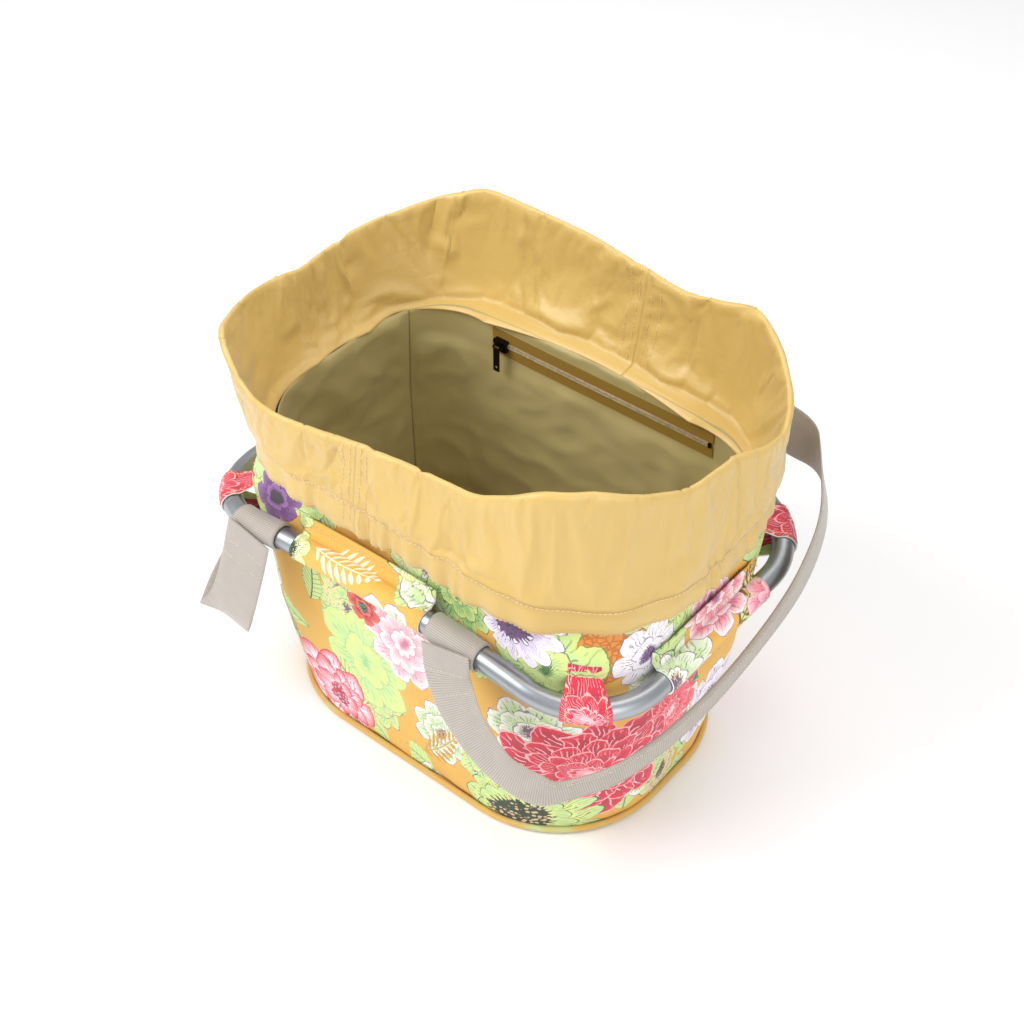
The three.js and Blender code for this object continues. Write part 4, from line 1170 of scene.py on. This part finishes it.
def strap_loop(name, node_name, u0, u1):
    """The strap's end wrapped round the tube."""
    u = np.linspace(u0, u1, 24)
    x, y, nx, ny = walk(RING, u)
    z = tube_z(x)
    a = np.linspace(0, 2 * np.pi, 48, endpoint=False)
    rings = []
    for r in LOOP_RADII:
        o = r * np.cos(a)[:, None]
        rings.append(np.stack([x[None] + nx[None] * o, y[None] + ny[None] * o,
                               z[None] + r * np.sin(a)[:, None] + 0 * x[None]], -1))
    grid = np.concatenate([rings[0], rings[1][:, ::-1]], 1)
    run = np.r_[0, np.cumsum(np.hypot(np.diff(x), np.diff(y)))]
    across = np.concatenate([run, run[::-1], run[:1]])
    v = np.linspace(0, 2 * np.pi * 10, 49)
    cloth_uv = np.stack(np.meshgrid(v, across, indexing="ij")[::-1], -1)
    made = mesh_from(name, grid, True, True, cloth_uv, WEBBING)
    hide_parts(node_name)
    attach(made, "bag")


for side, x in (("right", RIGHT_X), ("left", LEFT_X)):
    for end, station in (("front", front_station), ("rear", rear_station)):
        middle = station(x)
        a, b = station(x - 20), station(x + 20)
        if side == "left":
            a = middle + (1 if end == "front" else -1) * (7 / 29.75 + 13 / 11.78)
        strap_loop(f"strap_end_{side}_{end}", f"handle_loop_{side}_{end}", a, b)

# ---------------------------------------------------------------- hardware and boards
# Moulded plate and socket, steel screws and nuts, stiffening boards, and the zip.
def moulded(name, colour, rough):
    # Injection moulded plastic with a fine spark-eroded grain.
    material, tree = new_material(name)
    where = position(tree)
    grain = cloudy(tree, where, 2600.0, 2.0)
    tone = blend_colour(tree, cloudy(tree, where, 25.0), colour, "#2c2c30")
    surface(tree, {"Base Color": tone, "Roughness": rough}, grain, 0.00006, 0.6)
    return material


def metal(name, colour, rough, metallic=1.0):
    # Small metal parts: plated or lacquered, with slight tarnish.
    material, tree = new_material(name)
    where = position(tree)
    tarnish = "#6a6a6c" if metallic == 1 else "#120f0d"
    tone = blend_colour(tree, cloudy(tree, where, 160.0, 4.0), colour, tarnish)
    surface(tree, {"Base Color": tone, "Metallic": metallic, "Roughness": calc(
        tree, "MULTIPLY_ADD", cloudy(tree, where, 300.0), 0.2, rough)},
        cloudy(tree, where, 1500.0), 0.00003, 0.4)
    return material


def zip_tape():
    # Woven olive tape with a herringbone look.
    material, tree = new_material("zip tape")
    where = position(tree)
    split = node(tree, "ShaderNodeSeparateXYZ", {0: where}).outputs
    fold = calc(tree, "PINGPONG", split[2], 0.0015)
    bone = calc(tree, "SINE", mul(tree, calc(tree, "ADD", split[0], fold), 2 * math.pi / 0.0011))
    colour = blend_colour(tree, mul_add(tree, bone, 0.3, 0.4), "#a8842c", "#6f5a1c")
    surface(tree, {"Base Color": colour, "Roughness": 0.7}, bone, 0.0002, 0.7)
    return material


GRAIN, BOARD = moulded("moulded black nylon", "#17171a", 0.5), moulded("polypropylene sheet", "#3a3a3d", 0.6)
STEEL, BRONZE = metal("zinc plated steel", "#b4b6ba", 0.3), metal("black bronze", "#2b2520", 0.28, 0.85)
TAPE = zip_tape()


def bevelled(names, material, width):
    """A CAD node's own shape with its sharp edges softened."""
    for name in names:
        shape = bmesh.new()
        shape.from_mesh(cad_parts[name].data)
        bmesh.ops.remove_doubles(shape, verts=shape.verts, dist=1e-6)
        bmesh.ops.dissolve_limit(shape, angle_limit=math.radians(2), verts=shape.verts, edges=shape.edges)
        mesh = bpy.data.meshes.new(name + "_shape")
        shape.to_mesh(mesh)
        shape.free()
        made = bpy.data.objects.new(name + "_piece", mesh)
        bpy.context.scene.collection.objects.link(made)
        mesh.materials.append(material)
        edge = made.modifiers.new("edges", "BEVEL")
        edge.width, edge.segments, edge.limit_method = width * MM, 2, "ANGLE"
        edge.angle_limit = math.radians(40)
        finished = bpy.data.meshes.new_from_object(made.evaluated_get(bpy.context.evaluated_depsgraph_get()))
        made.modifiers.clear()
        made.data = finished
        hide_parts(name)
        body = {"zip_slider": "zip_slider", "zip_puller": "zip_puller"}.get(name, "bag")
        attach(made, body)


def zip_teeth(name, node_name, height):
    """One side's coil: a row of small loops sewn along the tape."""
    low, high = (np.array(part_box(node_name)[k]) / MM for k in (0, 1))
    row = [(x, (low[1] + high[1]) / 2, height) for x in np.linspace(low[0], high[0], 60)]
    made = stitches(name, [row], TAPE_TEETH, 1.3, 0.9, 2.1)
    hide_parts(node_name)


TAPE_TEETH = thread("zip coil", "#8a6c22")
zip_teeth("zip_teeth_upper", "zip_coil_upper", 231.2)
zip_teeth("zip_teeth_lower", "zip_coil_lower", 228.8)
bevelled(["mount_plate"], GRAIN, 1.0)
bevelled([f"mount_screw_{i}" for i in range(1, 5)], STEEL, 0.4)
bevelled(["zip_slider", "zip_puller", "zip_stop_left", "zip_stop_right"], BRONZE, 0.25)
for names, material in (
    ([f"mount_nut_{i}" for i in range(1, 5)] + ["backing_plate"], STEEL),
    (["base_board", "rear_stiffener"], BOARD),
    (["zip_tape_upper", "zip_tape_lower"], TAPE),
    (["pocket_bag"], LINING), (["shell_base"], plain_cloth("coated base cloth", "#d9a948", "#e2b558", 0.9)),
):
    for name in names:
        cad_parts[name].data.materials.clear()
        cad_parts[name].data.materials.append(material)

# ---------------------------------------------------------------- floor and light
floor = bpy.data.objects.new("floor", bpy.data.meshes.new("floor"))
floor.data.from_pydata([(-6, -6, -0.0005), (6, -6, -0.0005), (6, 6, -0.0005), (-6, 6, -0.0005)],
                       [], [(0, 1, 2, 3)])
bpy.context.scene.collection.objects.link(floor)
pale, pale_tree = new_material("pale floor")
surface(pale_tree, {"Base Color": "#f4f4f4", "Roughness": 0.9})
floor.data.materials.append(pale)


def softbox(name, place, size, power):
    light = bpy.data.lights.new(name, "AREA")
    light.shape, light.size, light.energy = "DISK", size, power
    made = bpy.data.objects.new(name, light)
    made.location = place
    made.rotation_mode = "QUATERNION"
    made.rotation_quaternion = (Vector((0, 0, 0.15)) - Vector(place)).to_track_quat("-Z", "Y")
    bpy.context.scene.collection.objects.link(made)


softbox("key", (-0.9, -1.1, 1.5), 1.2, 27)
softbox("fill", (1.5, -0.7, 0.9), 1.4, 12)
softbox("top", (0.1, 0.5, 1.9), 1.5, 14)
world = bpy.data.worlds.new("studio")
world.use_nodes = True
world.node_tree.nodes["Background"].inputs[0].default_value = (1, 1, 1, 1)
world.node_tree.nodes["Background"].inputs[1].default_value = 0.62
bpy.context.scene.world = world
bpy.context.scene.view_settings.view_transform = "Standard"
